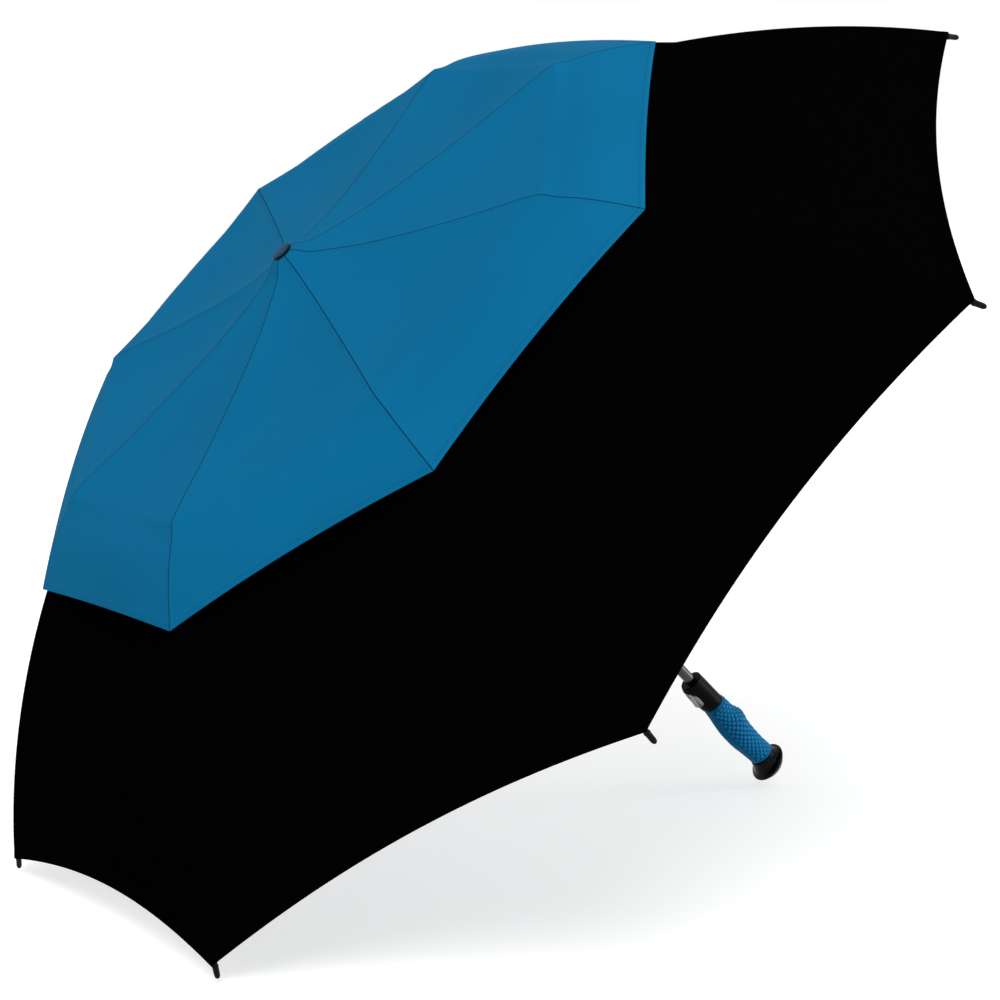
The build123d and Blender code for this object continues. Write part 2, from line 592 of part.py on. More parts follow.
def release_button():
    """The oval push button, with a softened face."""
    button = pill(BUTTON_LENGTH, BUTTON_WIDTH, BUTTON_FACE - BUTTON_THICK, BUTTON_FACE,
                  COLLAR_TOP - BUTTON_DROP)
    button = fillet(button.edges().group_by(Axis.X)[-1], BUTTON_THICK / 4)
    return HANDLE * button


def cap_place(share):
    """A place on the end cap's bent axis, from the grip's end to the rim."""
    return (Pos(share * CAP_SHIFT, 0, GRIP_BOTTOM - share * RIM_DROP)
            * Rot(0, share * CAP_TILT, 0))


def cap_dome():
    """The end cap's rounded rim and dome, about its own axis."""
    shoulder = (RIM_RADIUS - RIM_ROUND, RIM_ROUND)
    edge = (RIM_RADIUS - RIM_ROUND, -RIM_EDGE)
    rim = ThreePointArc(shoulder, (RIM_RADIUS, (RIM_ROUND - RIM_EDGE) / 2), edge)
    rise = DOME_DEPTH - RIM_EDGE
    ball = (edge[0] ** 2 + rise ** 2) / (2 * rise)
    turn = asin(edge[0] / ball) / 2
    middle = (ball * sin(turn), ball * (1 - cos(turn)) - DOME_DEPTH)
    outline = rim + ThreePointArc(edge, middle, (0, -DOME_DEPTH))
    outline += Polyline((0, -DOME_DEPTH), (0, RIM_ROUND), shoulder)
    return revolve(make_face(Plane.XZ * outline), Axis.Z)


def handle_end_cap():
    """The flared cap on the handle's end, tilted, with a flat to stand it on."""
    sections = [egg(*GRIP_FORM[-1])]
    sections += [cap_place(share) * Circle(radius) for share, radius in CAP_FLARE]
    sections.append(cap_place(1) * Pos(0, 0, RIM_ROUND) * Circle(RIM_RADIUS - RIM_ROUND))
    cap = loft(sections) + cap_place(1) * cap_dome()
    size = 4 * RIM_RADIUS
    cap -= Pos(0, 0, GRIP_BOTTOM - RIM_DROP - END_DROP - size / 2) * Box(size, size, size)
    cap -= disc(CORE_RADIUS + FIT, CORE_BOTTOM - FIT, GRIP_BOTTOM)
    spigot = LOWER_TUBE_OD / 2 - LOWER_TUBE_WALL - FIT
    cap += disc(spigot, CORE_BOTTOM - 2 * FIT, CORE_BOTTOM + SPIGOT_LENGTH)
    return HANDLE * cap


def write(name, shapes):
    """Writes one named part as a STEP file."""
    solids = shapes if isinstance(shapes, list) else [shapes]
    found = [solid for shape in solids for solid in shape.solids()]
    model = found[0] if len(found) == 1 else Compound(children=found)
    export_step(model, f"parts/{name}.step")


def main():
    """Makes every part of the umbrella."""
    os.makedirs("parts", exist_ok=True)
    for name, make in (
        ("handle_collar", handle_collar), ("handle_grip", handle_grip),
        ("handle_core", handle_core), ("handle_end_cap", handle_end_cap),
        ("release_button", release_button), ("button_springs", button_springs),
        ("latch_plate", latch_plate), ("lower_tube", lower_tube), ("upper_tube", upper_tube),
        ("tube_bushing", tube_bushing), ("tube_plug", tube_plug),
        ("opening_spring", opening_spring), ("crown_notch", crown_notch),
        ("crown_cap", crown_cap), ("runner", runner), ("cap_canopy", cap_canopy),
        ("lower_canopy", lower_canopy),
    ):
        write(name, make())
    write("crown_wire", wire(NOTCH_RADIUS, CROWN_Z))
    write("runner_wire", wire(RUNNER_RADIUS, RUNNER_Z))
    rib = {"rib_inner": inner_link(), "rib_middle": middle_link(), "rib_outer": outer_rib(),
           "rib_tip": [tip_cup()], "stretcher": [stretcher()]}
    for k in range(1, RIBS + 1):
        turn = Rot(0, 0, 360 / RIBS * k)
        for name, pieces in rib.items():
            write(f"{name}_{k}", [turn * piece for piece in pieces])


main()
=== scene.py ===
"""A folding golf umbrella with a vented double canopy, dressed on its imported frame.

Everything is in metres in the frame's own axes: the origin is at the middle of the grip,
+Z runs up the shaft to the crown, and rib 8 lies over +X.
"""

import json
import logging
import math
from dataclasses import dataclass, replace
from enum import Enum
from typing import Any, Sequence

import bpy
from mathutils import Matrix, Vector

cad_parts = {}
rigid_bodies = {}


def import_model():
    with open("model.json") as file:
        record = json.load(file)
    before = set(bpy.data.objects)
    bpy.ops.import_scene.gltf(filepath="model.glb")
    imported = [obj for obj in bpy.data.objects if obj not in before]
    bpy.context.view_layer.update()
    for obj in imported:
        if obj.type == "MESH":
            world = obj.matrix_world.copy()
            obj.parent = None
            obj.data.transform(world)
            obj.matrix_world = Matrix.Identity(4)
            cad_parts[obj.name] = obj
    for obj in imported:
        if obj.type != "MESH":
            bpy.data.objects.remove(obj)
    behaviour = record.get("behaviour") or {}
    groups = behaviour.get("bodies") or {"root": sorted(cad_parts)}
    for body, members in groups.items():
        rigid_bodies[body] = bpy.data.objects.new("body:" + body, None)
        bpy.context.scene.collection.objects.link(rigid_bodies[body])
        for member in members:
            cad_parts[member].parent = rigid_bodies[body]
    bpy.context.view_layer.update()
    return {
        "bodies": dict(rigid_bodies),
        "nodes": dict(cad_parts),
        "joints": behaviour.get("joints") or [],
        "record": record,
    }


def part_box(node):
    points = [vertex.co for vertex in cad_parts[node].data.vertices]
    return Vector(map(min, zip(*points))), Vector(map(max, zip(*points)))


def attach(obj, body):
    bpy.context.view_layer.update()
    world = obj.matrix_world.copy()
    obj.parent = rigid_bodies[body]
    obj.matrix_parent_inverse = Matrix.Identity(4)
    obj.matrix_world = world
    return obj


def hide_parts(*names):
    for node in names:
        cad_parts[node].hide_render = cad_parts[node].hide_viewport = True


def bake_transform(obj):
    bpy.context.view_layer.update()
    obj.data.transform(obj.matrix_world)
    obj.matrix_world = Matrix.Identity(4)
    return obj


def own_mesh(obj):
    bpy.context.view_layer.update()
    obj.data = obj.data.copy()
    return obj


LOG = logging.getLogger("umbrella")
MM = 0.001
HAIR = 0.001 * MM
Colour = tuple[float, float, float, float]
Line = tuple[tuple[float, float], ...]
WHITE: Colour = (1.0, 1.0, 1.0, 1.0)


class Side(Enum):
    """Which half of a gore a panel covers, seen from outside with the crown up."""

    LEFT = 1
    RIGHT = -1
    BOTH = 0


class Form(Enum):
    """How a panel of cloth follows the folding frame."""

    CROWN = "blend"
    LINK = "flatten"
    LOBE = "fold_out"


# --- Finishes -----------------------------------------------------------------------


@dataclass(frozen=True)
class Tint:
    """A colour in the steps of a paint chart, 0 to 255."""

    red: float
    green: float
    blue: float

    def linear(self, share: float = 1.0) -> Colour:
        """Gives the colour as light, made lighter or darker.

        Args:
            share: What the light is multiplied by.

        Returns:
            Red, green, blue and alpha.
        """
        steps = (self.red / 255, self.green / 255, self.blue / 255)
        light = [c / 12.92 if c <= 0.04045 else ((c + 0.055) / 1.055) ** 2.4 for c in steps]
        return (*[min(1.0, c * share) for c in light], 1.0)


class Graph:
    """The nodes of one material."""

    def __init__(self, name: str) -> None:
        """Starts an empty material.

        Args:
            name: The material's name.
        """
        self.material = bpy.data.materials.new(name)
        self.material.use_nodes = True
        self.tree = self.material.node_tree
        self.tree.nodes.clear()
        self.output = self.add("OutputMaterial")

    def add(self, kind: str, **settings: Any) -> Any:
        """Adds a node.

        Args:
            kind: The node's type without its prefix.
            settings: Properties of the node, or values of sockets that start with "in_".

        Returns:
            The node.
        """
        node = self.tree.nodes.new("ShaderNode" + kind)
        for name, value in settings.items():
            if name.startswith("in_"):
                key = name[3:]
                node.inputs[int(key) if key.isdigit() else key.replace("_", " ")].default_value = value
            else:
                setattr(node, name, value)
        return node

    def join(self, start: Any, end: Any) -> None:
        """Links one socket to another."""
        self.tree.links.new(start, end)

    def math(self, operation: str, first: Any, second: Any = None) -> Any:
        """Adds a Math node.

        Args:
            operation: What it does.
            first: A socket or a number.
            second: A socket or a number.

        Returns:
            Its output socket.
        """
        node = self.add("Math", operation=operation)
        for place, value in enumerate((first, second)):
            if value is None:
                continue
            if isinstance(value, (int, float)):
                node.inputs[place].default_value = value
            else:
                self.join(value, node.inputs[place])
        return node.outputs[0]

    def ramp(self, value: Any, low: float, high: float, start: float = 0.0, end: float = 1.0) -> Any:
        """Eases a value from one range to another.

        Args:
            value: The socket to read.
            low: Where the change starts.
            high: Where it ends.
            start: The result at low.
            end: The result at high.

        Returns:
            The output socket.
        """
        node = self.add("MapRange", interpolation_type="SMOOTHSTEP")
        self.join(value, node.inputs["Value"])
        for name, number in (("From Min", low), ("From Max", high), ("To Min", start), ("To Max", end)):
            node.inputs[name].default_value = number
        return node.outputs["Result"]

    def blend(self, amount: Any, first: Any, second: Any) -> Any:
        """Mixes two colours.

        Args:
            amount: Socket that gives the second one's share.
            first: A colour or a socket.
            second: A colour or a socket.

        Returns:
            The output socket.
        """
        node = self.add("Mix", data_type="RGBA")
        self.join(amount, node.inputs["Factor"])
        for place, value in ((6, first), (7, second)):
            if isinstance(value, tuple):
                node.inputs[place].default_value = value
            else:
                self.join(value, node.inputs[place])
        return node.outputs[2]

    def noise(self, scale: float, detail: float, where: Any = None) -> Any:
        """Adds a noise texture.

        Args:
            scale: Its scale.
            detail: How many finer layers it has.
            where: The coordinates to read, the object's own by default.

        Returns:
            The output socket of its strength.
        """
        node = self.add("TexNoise", in_Scale=scale, in_Detail=detail)
        if where is None:
            where = self.add("TexCoord").outputs["Object"]
        self.join(where, node.inputs["Vector"])
        return node.outputs["Fac"]

    def patches(self, scale: float, detail: float, low: float = 0.3, high: float = 0.7) -> Any:
        """Adds soft patches that run from 0 to 1.

        Args:
            scale: The scale of their noise.
            detail: How many finer layers it has.
            low: The noise where a patch starts.
            high: The noise where a patch is full.

        Returns:
            The output socket.
        """
        return self.ramp(self.noise(scale, detail), low, high)

    def mottled(self, tint: Tint, spread: float) -> Any:
        """Varies a moulded colour softly over the piece.

        Args:
            tint: The colour.
            spread: How much darker and lighter it gets.

        Returns:
            The output socket.
        """
        return self.blend(self.patches(14.0, 3.0), tint.linear(1 - spread), tint.linear(1 + spread))

    def bump(self, height: Any, distance: float, strength: float, before: Any = None) -> Any:
        """Adds a bump.

        Args:
            height: The socket that gives the height, 0 to 1.
            distance: The height of 1 in metres.
            strength: The bump's share.
            before: The output of a bump that this one comes on top of.

        Returns:
            The output socket with the normal.
        """
        node = self.add("Bump", in_Strength=strength, in_Distance=distance)
        self.join(height, node.inputs["Height"])
        if before is not None:
            self.join(before, node.inputs["Normal"])
        return node.outputs["Normal"]

    def surface(self, tint: Any, normal: Any, rough: Any, **sockets: float) -> bpy.types.Material:
        """Ends the material in its main shader.

        Args:
            tint: The socket with the colour.
            normal: The socket with the normal.
            rough: The roughness, a number or a socket.
            sockets: Values of the shader's other sockets, with _ for a space.

        Returns:
            The finished material.
        """
        shader = self.add("BsdfPrincipled")
        self.join(tint, shader.inputs["Base Color"])
        self.join(normal, shader.inputs["Normal"])
        if isinstance(rough, float):
            shader.inputs["Roughness"].default_value = rough
        else:
            self.join(rough, shader.inputs["Roughness"])
        for name, value in sockets.items():
            shader.inputs[name.replace("_", " ")].default_value = value
        self.join(shader.outputs["BSDF"], self.output.inputs["Surface"])
        return self.material


@dataclass(frozen=True)
class Pongee:
    """Tightly woven canopy cloth, with a seam along the ribs and a stitched hem."""

    name: str
    tint: Tint
    seam_tint: Tint
    specular: float
    rough: float = 0.78
    cloud: tuple[float, float] = (0.97, 1.04)
    thread: float = 0.45 * MM
    thread_light: float = 1.25
    thread_mix: float = 0.25
    seam_mix: float = 0.8
    stitch_mix: float = 0.5
    stitch_light: float = 0.8
    weave_depth: float = 0.12 * MM
    seam_line: tuple[float, float] = (0.35 * MM, 1.0 * MM)
    seam_depth: float = 0.3 * MM
    allowance: tuple[float, float] = (3.6 * MM, 4.4 * MM)
    stitch_row: float = 5.2 * MM
    stitch_pitch: float = 1.4 * MM
    stitch_ends: tuple[float, float] = (0.45 * MM, 0.75 * MM)
    stitch_sides: tuple[float, float] = (0.2 * MM, 0.5 * MM)
    pucker_reach: float = 14 * MM
    pucker_depth: float = 0.5 * MM
    drape_depth: float = 1.2 * MM

    def make(self) -> bpy.types.Material:
        """Builds the cloth from its weave, its seams and its stitches.

        Returns:
            The material.
        """
        g = Graph(self.name)
        place = g.add("UVMap", uv_map="Cloth").outputs["UV"]
        weave = self.weave(g, place)
        seam = g.add("Attribute", attribute_name="seam").outputs["Fac"]
        line = g.ramp(seam, *self.seam_line, 1.0, 0.0)
        folded = g.ramp(seam, *self.allowance, 1.0, 0.0)
        stitch = self.stitches(g, place)
        thread_tint = self.tint.linear(self.thread_light)
        stitch_tint = self.seam_tint.linear(self.stitch_light)
        tint = g.blend(g.patches(5.0, 4.0), *[self.tint.linear(share) for share in self.cloud])
        tint = g.blend(g.math("MULTIPLY", weave, self.thread_mix), tint, thread_tint)
        tint = g.blend(g.math("MULTIPLY", line, self.seam_mix), tint, self.seam_tint.linear())
        tint = g.blend(g.math("MULTIPLY", stitch, self.stitch_mix), tint, stitch_tint)
        pucker = g.math("MULTIPLY", g.noise(260.0, 2.0), g.ramp(seam, 0.0, self.pucker_reach, 1.0, 0.0))
        fine = g.math("SUBTRACT", g.math("MULTIPLY", weave, 0.5), stitch)
        normal = g.bump(g.noise(16.0, 3.0), self.drape_depth, 0.35)
        normal = g.bump(pucker, self.pucker_depth, 0.5, normal)
        normal = g.bump(g.math("SUBTRACT", folded, line), self.seam_depth, 0.8, normal)
        normal = g.bump(fine, self.weave_depth, 0.5, normal)
        return g.surface(tint, normal, self.rough, Specular_IOR_Level=self.specular)

    def weave(self, g: Graph, place: Any) -> Any:
        """Crosses two sets of threads.

        Args:
            g: The material's nodes.
            place: The socket with the place on the cloth, in metres.

        Returns:
            The socket that is 1 on the threads' crossings.
        """
        turned = g.add("Mapping", in_Rotation=(0, 0, math.pi / 2))
        g.join(place, turned.inputs["Vector"])
        pitch = math.pi / 10 / self.thread / 2
        sets = []
        for where in (place, turned.outputs["Vector"]):
            threads = g.add("TexWave", in_Scale=pitch, in_Distortion=0.0)
            g.join(where, threads.inputs["Vector"])
            sets.append(threads.outputs["Fac"])
        return g.math("MULTIPLY", *sets)

    def stitches(self, g: Graph, place: Any) -> Any:
        """Sews a row of stitches beside the hem.

        Args:
            g: The material's nodes.
            place: The socket with the place on the cloth, in metres.

        Returns:
            The socket that is 1 on the stitches.
        """
        hem = g.add("Attribute", attribute_name="hem").outputs["Fac"]
        along = g.add("SeparateXYZ")
        g.join(place, along.inputs[0])
        dash = g.ramp(g.math("PINGPONG", along.outputs["X"], self.stitch_pitch), *self.stitch_ends)
        off_row = g.math("ABSOLUTE", g.math("SUBTRACT", hem, self.stitch_row))
        return g.math("MULTIPLY", dash, g.ramp(off_row, *self.stitch_sides, 1.0, 0.0))


@dataclass(frozen=True)
class Plating:
    """Polished or brushed plating on drawn steel."""

    name: str
    tint: Tint
    rough: float
    stain_rough: float = 0.10
    stain_light: tuple[float, float] = (1.05, 0.86)
    draw_scale: float = 2600.0
    draw_stretch: float = 0.02
    draw_depth: float = 0.02 * MM

    def make(self) -> bpy.types.Material:
        """Builds the metal with fine draw lines and small stains.

        Returns:
            The material.
        """
        g = Graph(self.name)
        drawn = g.add("Mapping", in_Scale=(1.0, 1.0, self.draw_stretch))
        g.join(g.add("TexCoord").outputs["Object"], drawn.inputs["Vector"])
        lines = g.noise(self.draw_scale, 3.0, drawn.outputs["Vector"])
        stains = g.patches(35.0, 5.0, 0.35, 0.75)
        rough = g.math("ADD", g.math("MULTIPLY", stains, self.stain_rough), self.rough)
        tint = g.blend(stains, *[self.tint.linear(share) for share in self.stain_light])
        return g.surface(tint, g.bump(lines, self.draw_depth, 0.5), rough, Metallic=1.0)


@dataclass(frozen=True)
class Plastic:
    """Moulded plastic, from high gloss to a fine grain."""

    name: str
    tint: Tint
    rough: float
    grain: float
    grain_depth: float
    specular: float = 0.5
    mark_rough: float = 0.12
    mottle: float = 0.06

    def make(self) -> bpy.types.Material:
        """Builds the plastic with its grain, its handling marks and its soft flow.

        Returns:
            The material.
        """
        g = Graph(self.name)
        marks = g.patches(60.0, 4.0, 0.45, 0.75)
        rough = g.math("ADD", g.math("MULTIPLY", marks, self.mark_rough), self.rough)
        normal = g.bump(g.noise(self.grain, 2.0), self.grain_depth, 0.6)
        return g.surface(g.mottled(self.tint, self.mottle), normal, rough,
                         Specular_IOR_Level=self.specular)


@dataclass(frozen=True)
class Rubber:
    """Soft moulded rubber, with painted shade between its dots."""

    name: str
    tint: Tint
    deep: Tint
    rough: float = 0.62
    polish: float = 0.12
    grain: float = 1500.0
    grain_depth: float = 0.05 * MM
    specular: float = 0.12
    mottle: float = 0.06

    def make(self) -> bpy.types.Material:
        """Builds the rubber with its fine grain, its slightly polished patches and painted shade among its
        dots.

        Returns:
            The material.
        """
        g = Graph(self.name)
        worn = g.patches(45.0, 4.0, 0.45, 0.75)
        rough = g.math("SUBTRACT", self.rough, g.math("MULTIPLY", worn, self.polish))
        # Painted shade: among the dots the sleeve darkens to its second tint, where shade falls between
        # them.
        among = g.add("Attribute", attribute_name="dotted").outputs["Fac"]
        tint = g.blend(among, g.mottled(self.tint, self.mottle), self.deep.linear())
        normal = g.bump(g.noise(self.grain, 2.0), self.grain_depth, 0.6)
        return g.surface(tint, normal, rough, Specular_IOR_Level=self.specular)


@dataclass(frozen=True)
class FloorFinish:
    """A pale studio floor that keeps a soft shadow and can't be seen from below."""

    name: str
    tint: Tint
    glow: float
    mottle: float = 0.995

    def make(self) -> bpy.types.Material:
        """Builds the floor's one-sided surface.

        Returns:
            The material.
        """
        g = Graph(self.name)
        paths = g.add("LightPath")
        seen = g.math("MAXIMUM", paths.outputs["Is Camera Ray"], paths.outputs["Is Glossy Ray"])
        seen = g.math("MAXIMUM", seen, paths.outputs["Is Transmission Ray"])
        pale = g.add("BsdfDiffuse")
        tint = g.blend(g.patches(3.0, 3.0), self.tint.linear(self.mottle), self.tint.linear())
        g.join(tint, pale.inputs["Color"])
        shine = g.add("Emission", in_Color=WHITE)
        g.join(g.math("MULTIPLY", seen, self.glow), shine.inputs["Strength"])
        both = g.add("AddShader")
        g.join(pale.outputs[0], both.inputs[0])
        g.join(shine.outputs[0], both.inputs[1])
        clear = g.add("BsdfTransparent")
        pick = g.add("MixShader")
        g.join(g.add("NewGeometry").outputs["Backfacing"], pick.inputs[0])
        g.join(both.outputs[0], pick.inputs[1])
        g.join(clear.outputs[0], pick.inputs[2])
        g.join(pick.outputs[0], g.output.inputs["Surface"])
        return g.material


BLUE = Tint(11, 106, 151)
INK = Tint(3, 3, 4)

SLOT_FINISHES: dict[str, Any] = {
    "steel": Plating("plated_steel", Tint(172, 174, 178), 0.28),
    "shaft": Plating("gunmetal_tube", Tint(72, 74, 78), 0.16),
    "fibreglass": Plastic("black_fibreglass", Tint(22, 22, 24), 0.35, 1500.0, 0.05 * MM),
    "tips": Plastic("tip_plastic", Tint(4, 4, 5), 0.4, 900.0, 0.03 * MM, specular=0.1),
    "black_gloss": Plastic("black_gloss", Tint(4, 4, 5), 0.3, 120.0, 0.02 * MM, specular=0.05),
    "end_plastic": Plastic("end_cap_plastic", Tint(4, 4, 5), 0.26, 140.0, 0.02 * MM, specular=0.1),
    "black_plastic": Plastic("black_moulding", Tint(13, 13, 14), 0.42, 1800.0, 0.05 * MM, specular=0.12),
    # The grip rubber is tinted lighter than its own blue, painted light that makes up for the canopy's
    # shade on the handle. Its second tint is painted shade between the dots, and the dots' still lighter
    # tint is a painted highlight.
    "grip_rubber": Rubber("blue_rubber", Tint(2, 122, 180), Tint(0, 76, 120)),
    "grip_dots": Rubber("blue_rubber_dots", Tint(8, 138, 198), Tint(8, 138, 198)),
    "button_grey": Plastic("smoky_plastic", Tint(140, 142, 144), 0.25, 200.0, 0.02 * MM),
    "button_pad": Plastic("smoky_pad", Tint(70, 71, 73), 0.3, 200.0, 0.02 * MM),
    "blue_plastic": Plastic("blue_moulding", Tint(10, 72, 102), 0.4, 900.0, 0.03 * MM, specular=0.02),
    "blue_cloth": Pongee("blue_pongee", BLUE, Tint(8, 44, 66), specular=0.02),
    "black_cloth": Pongee("black_pongee", INK, Tint(1, 1, 1), specular=0.0),
}


class Wardrobe:
    """Every finish, built once and handed out by its slot."""

    def __init__(self) -> None:
        """Builds the materials."""
        self.made = {slot: finish.make() for slot, finish in SLOT_FINISHES.items()}

    def dress(self, obj: bpy.types.Object, slot: str) -> None:
        """Gives a piece the finish of a slot.

        Args:
            obj: The piece.
            slot: The slot's name in the record.
        """
        if obj.material_slots:
            for held in obj.material_slots:
                held.material = self.made[slot]
        else:
            obj.data.materials.append(self.made[slot])

    def dress_nodes(self, frame: dict[str, Any]) -> None:
        """Gives each frame node the finish of its own slot.

        Args:
            frame: The loaded frame.
        """
        for part in frame["record"]["subparts"]:
            self.dress(frame["nodes"][part["node"]], part["material_slot"])


# --- Shared modelling steps ---------------------------------------------------------


@dataclass(frozen=True)
class Oval:
    """One section of a moulded body: its place along and off the axis, its half widths and its tilt."""

    height: float
    middle: float
    depth: float
    side: float
    tilt: float = 0.0

    @classmethod
    def round(cls, height: float, radius: float, middle: float = 0.0, tilt: float = 0.0) -> "Oval":
        """Gives a section that is a circle."""
        return cls(height, middle, radius, radius, tilt)


def joints_of(frame: dict[str, Any]) -> dict[str, dict[str, Any]]:
    """Gives the frame's joints by their names."""
    return {joint["name"]: joint for joint in frame["record"]["behaviour"]["joints"]}


def nothing_selected() -> None:
    """Deselects every object."""
    for other in bpy.context.selected_objects:
        other.select_set(False)


def alone(obj: bpy.types.Object) -> None:
    """Makes a piece the only one selected and the active one.

    Args:
        obj: The piece.
    """
    nothing_selected()
    obj.select_set(True)
    bpy.context.view_layer.objects.active = obj


def linked(name: str, mesh: bpy.types.Mesh) -> bpy.types.Object:
    """Puts a mesh into the scene under a name.

    Args:
        name: The piece's name.
        mesh: Its mesh.

    Returns:
        The piece.
    """
    obj = bpy.data.objects.new(name, mesh)
    bpy.context.scene.collection.objects.link(obj)
    return obj


def copied(master: bpy.types.Object, name: str, place: Matrix) -> bpy.types.Object:
    """Copies a piece with its own mesh.

    Args:
        master: What to copy.
        name: The copy's name.
        place: The move that brings its mesh to its place.

    Returns:
        The copy.
    """
    obj = linked(name, master.data.copy())
    obj.data.transform(place)
    return obj


def smooth(obj: bpy.types.Object, angle: float = 40.0) -> None:
    """Shades a piece smooth but for its sharp edges.

    Args:
        obj: The piece.
        angle: Edges sharper than this many degrees stay sharp.
    """
    alone(obj)
    bpy.ops.object.shade_smooth_by_angle(angle=math.radians(angle))


def fitted(obj: bpy.types.Object, body: str, slot: str, wardrobe: Wardrobe, *nodes: str,
           corner: float, finish: str = "") -> None:
    """Shades and dresses a finished piece and ties it to its body.

    Args:
        obj: The piece, in its place.
        body: The body it moves with.
        slot: Its material slot.
        wardrobe: The finishes.
        nodes: The frame nodes that it replaces.
        corner: Edges sharper than this many degrees stay sharp.
        finish: The finish, where it isn't the slot's own.
    """
    smooth(obj, corner)
    wardrobe.dress(obj, finish or slot)
    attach(obj, body)
    if nodes:
        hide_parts(*nodes)


def cut_below(obj: bpy.types.Object, height: float) -> None:
    """Cuts away what lies below a height and closes the cut.

    Args:
        obj: The piece.
        height: The height, in metres.
    """
    alone(obj)
    bpy.ops.object.mode_set(mode="EDIT")
    bpy.ops.mesh.select_all(action="SELECT")
    bpy.ops.mesh.bisect(plane_co=(0, 0, height), plane_no=(0, 0, 1), clear_inner=True, use_fill=True)
    bpy.ops.object.mode_set(mode="OBJECT")


def joined(name: str, copies: Sequence[bpy.types.Object]) -> bpy.types.Object:
    """Makes one piece of many.

    Args:
        name: The piece's name.
        copies: Objects with their places in their meshes.

    Returns:
        The piece.
    """
    alone(copies[0])
    for obj in copies:
        obj.select_set(True)
    bpy.ops.object.join()
    copies[0].name = name
    return copies[0]


def mould(name: str, ovals: Sequence[Oval], sides: int = 48) -> bpy.types.Object:
    """Models a closed body by drawing a ring through one oval after another.

    Args:
        name: The piece's name.
        ovals: The sections from the top down, in metres and degrees.
        sides: Corners of each ring.

    Returns:
        The piece, with its tilt towards +X.
    """
    nothing_selected()
    top = ovals[0]
    bpy.ops.mesh.primitive_circle_add(vertices=sides, radius=top.side, fill_type="NGON",
                                      location=(top.middle, 0.0, top.height))
    obj = bpy.context.active_object
    obj.name = name
    bpy.ops.object.transform_apply(location=True, rotation=True, scale=True)
    bpy.ops.object.mode_set(mode="EDIT")
    bpy.ops.mesh.select_all(action="SELECT")
    bpy.ops.transform.resize(value=(top.depth / top.side, 1.0, 1.0),
                             center_override=(top.middle, 0.0, top.height))
    for before, after in zip(ovals, ovals[1:]):
        move = (after.middle - before.middle, 0.0, after.height - before.height)
        centre = (after.middle, 0.0, after.height)
        wide = after.side / before.side
        bpy.ops.mesh.extrude_region_move(TRANSFORM_OT_translate={"value": move})
        bpy.ops.transform.resize(value=(after.depth / before.depth, wide, wide), center_override=centre)
        if after.tilt != before.tilt:
            bpy.ops.transform.rotate(value=math.radians(before.tilt - after.tilt), orient_axis="Y",
                                     center_override=centre)
    bpy.ops.mesh.select_all(action="SELECT")
    bpy.ops.mesh.normals_make_consistent(inside=False)
    bpy.ops.object.mode_set(mode="OBJECT")
    return obj


def rounded(obj: bpy.types.Object, width: float, segments: int = 3, corner: float = 30.0) -> None:
    """Rounds a piece's sharp edges.

    Args:
        obj: The piece.
        width: How wide the rounding is.
        segments: Faces across it.
        corner: Edges sharper than this many degrees get it.
    """
    alone(obj)
    bevel = obj.modifiers.new("round", "BEVEL")
    bevel.width, bevel.segments, bevel.limit_method = width, segments, "ANGLE"
    bevel.angle_limit = math.radians(corner)
    bpy.ops.object.modifier_apply(modifier=bevel.name)


# --- Canopy -------------------------------------------------------------------------


class SmoothLine:
    """A height over a run through given stations, smooth and without overshoot."""

    def __init__(self, stations: Sequence[tuple[float, float]]) -> None:
        """Finds the slope at each station.

        Args:
            stations: Runs and heights in rising order of run.
        """
        self.runs = [run for run, _ in stations]
        self.heights = [height for _, height in stations]
        steps = [b - a for a, b in zip(self.runs, self.runs[1:])]
        falls = [(b - a) / step for a, b, step in zip(self.heights, self.heights[1:], steps)]
        self.slopes = [falls[0]]
        for before, after, left, right in zip(falls, falls[1:], steps, steps[1:]):
            if before * after <= 0:
                self.slopes.append(0.0)
            else:
                near, far = 2 * right + left, right + 2 * left
                self.slopes.append((near + far) / (near / before + far / after))
        self.slopes.append(falls[-1])

    def height(self, run: float) -> float:
        """Gives the height at a run.

        Args:
            run: The run, which is held inside the stations.

        Returns:
            The height.
        """
        run = min(max(run, self.runs[0]), self.runs[-1])
        last = len(self.runs) - 2
        i = next((n for n in range(last + 1) if run <= self.runs[n + 1]), last)
        step = self.runs[i + 1] - self.runs[i]
        t = (run - self.runs[i]) / step
        return (
            (1 + 2 * t) * (1 - t) ** 2 * self.heights[i]
            + t * (1 - t) ** 2 * step * self.slopes[i]
            + t * t * (3 - 2 * t) * self.heights[i + 1]
            + t * t * (t - 1) * step * self.slopes[i + 1]
        )


def off(point: tuple[float, float], slope: float, run: float, rise: float = 0.0) -> tuple[float, float]:
    """Steps down a slope and off it.

    Args:
        point: Distance from the shaft and height.
        slope: Fall in degrees.
        run: Distance down the slope.
        rise: Distance off the slope.

    Returns:
        The new distance from the shaft and height.
    """
    angle = math.radians(slope)
    return (
        point[0] + run * math.cos(angle) + rise * math.sin(angle),
        point[1] - run * math.sin(angle) + rise * math.cos(angle),
    )


def polar(radius: float, angle: float, height: float) -> Vector:
    """Gives a point from its distance to the shaft, its direction and its height."""
    return Vector((radius * math.cos(angle), radius * math.sin(angle), height))


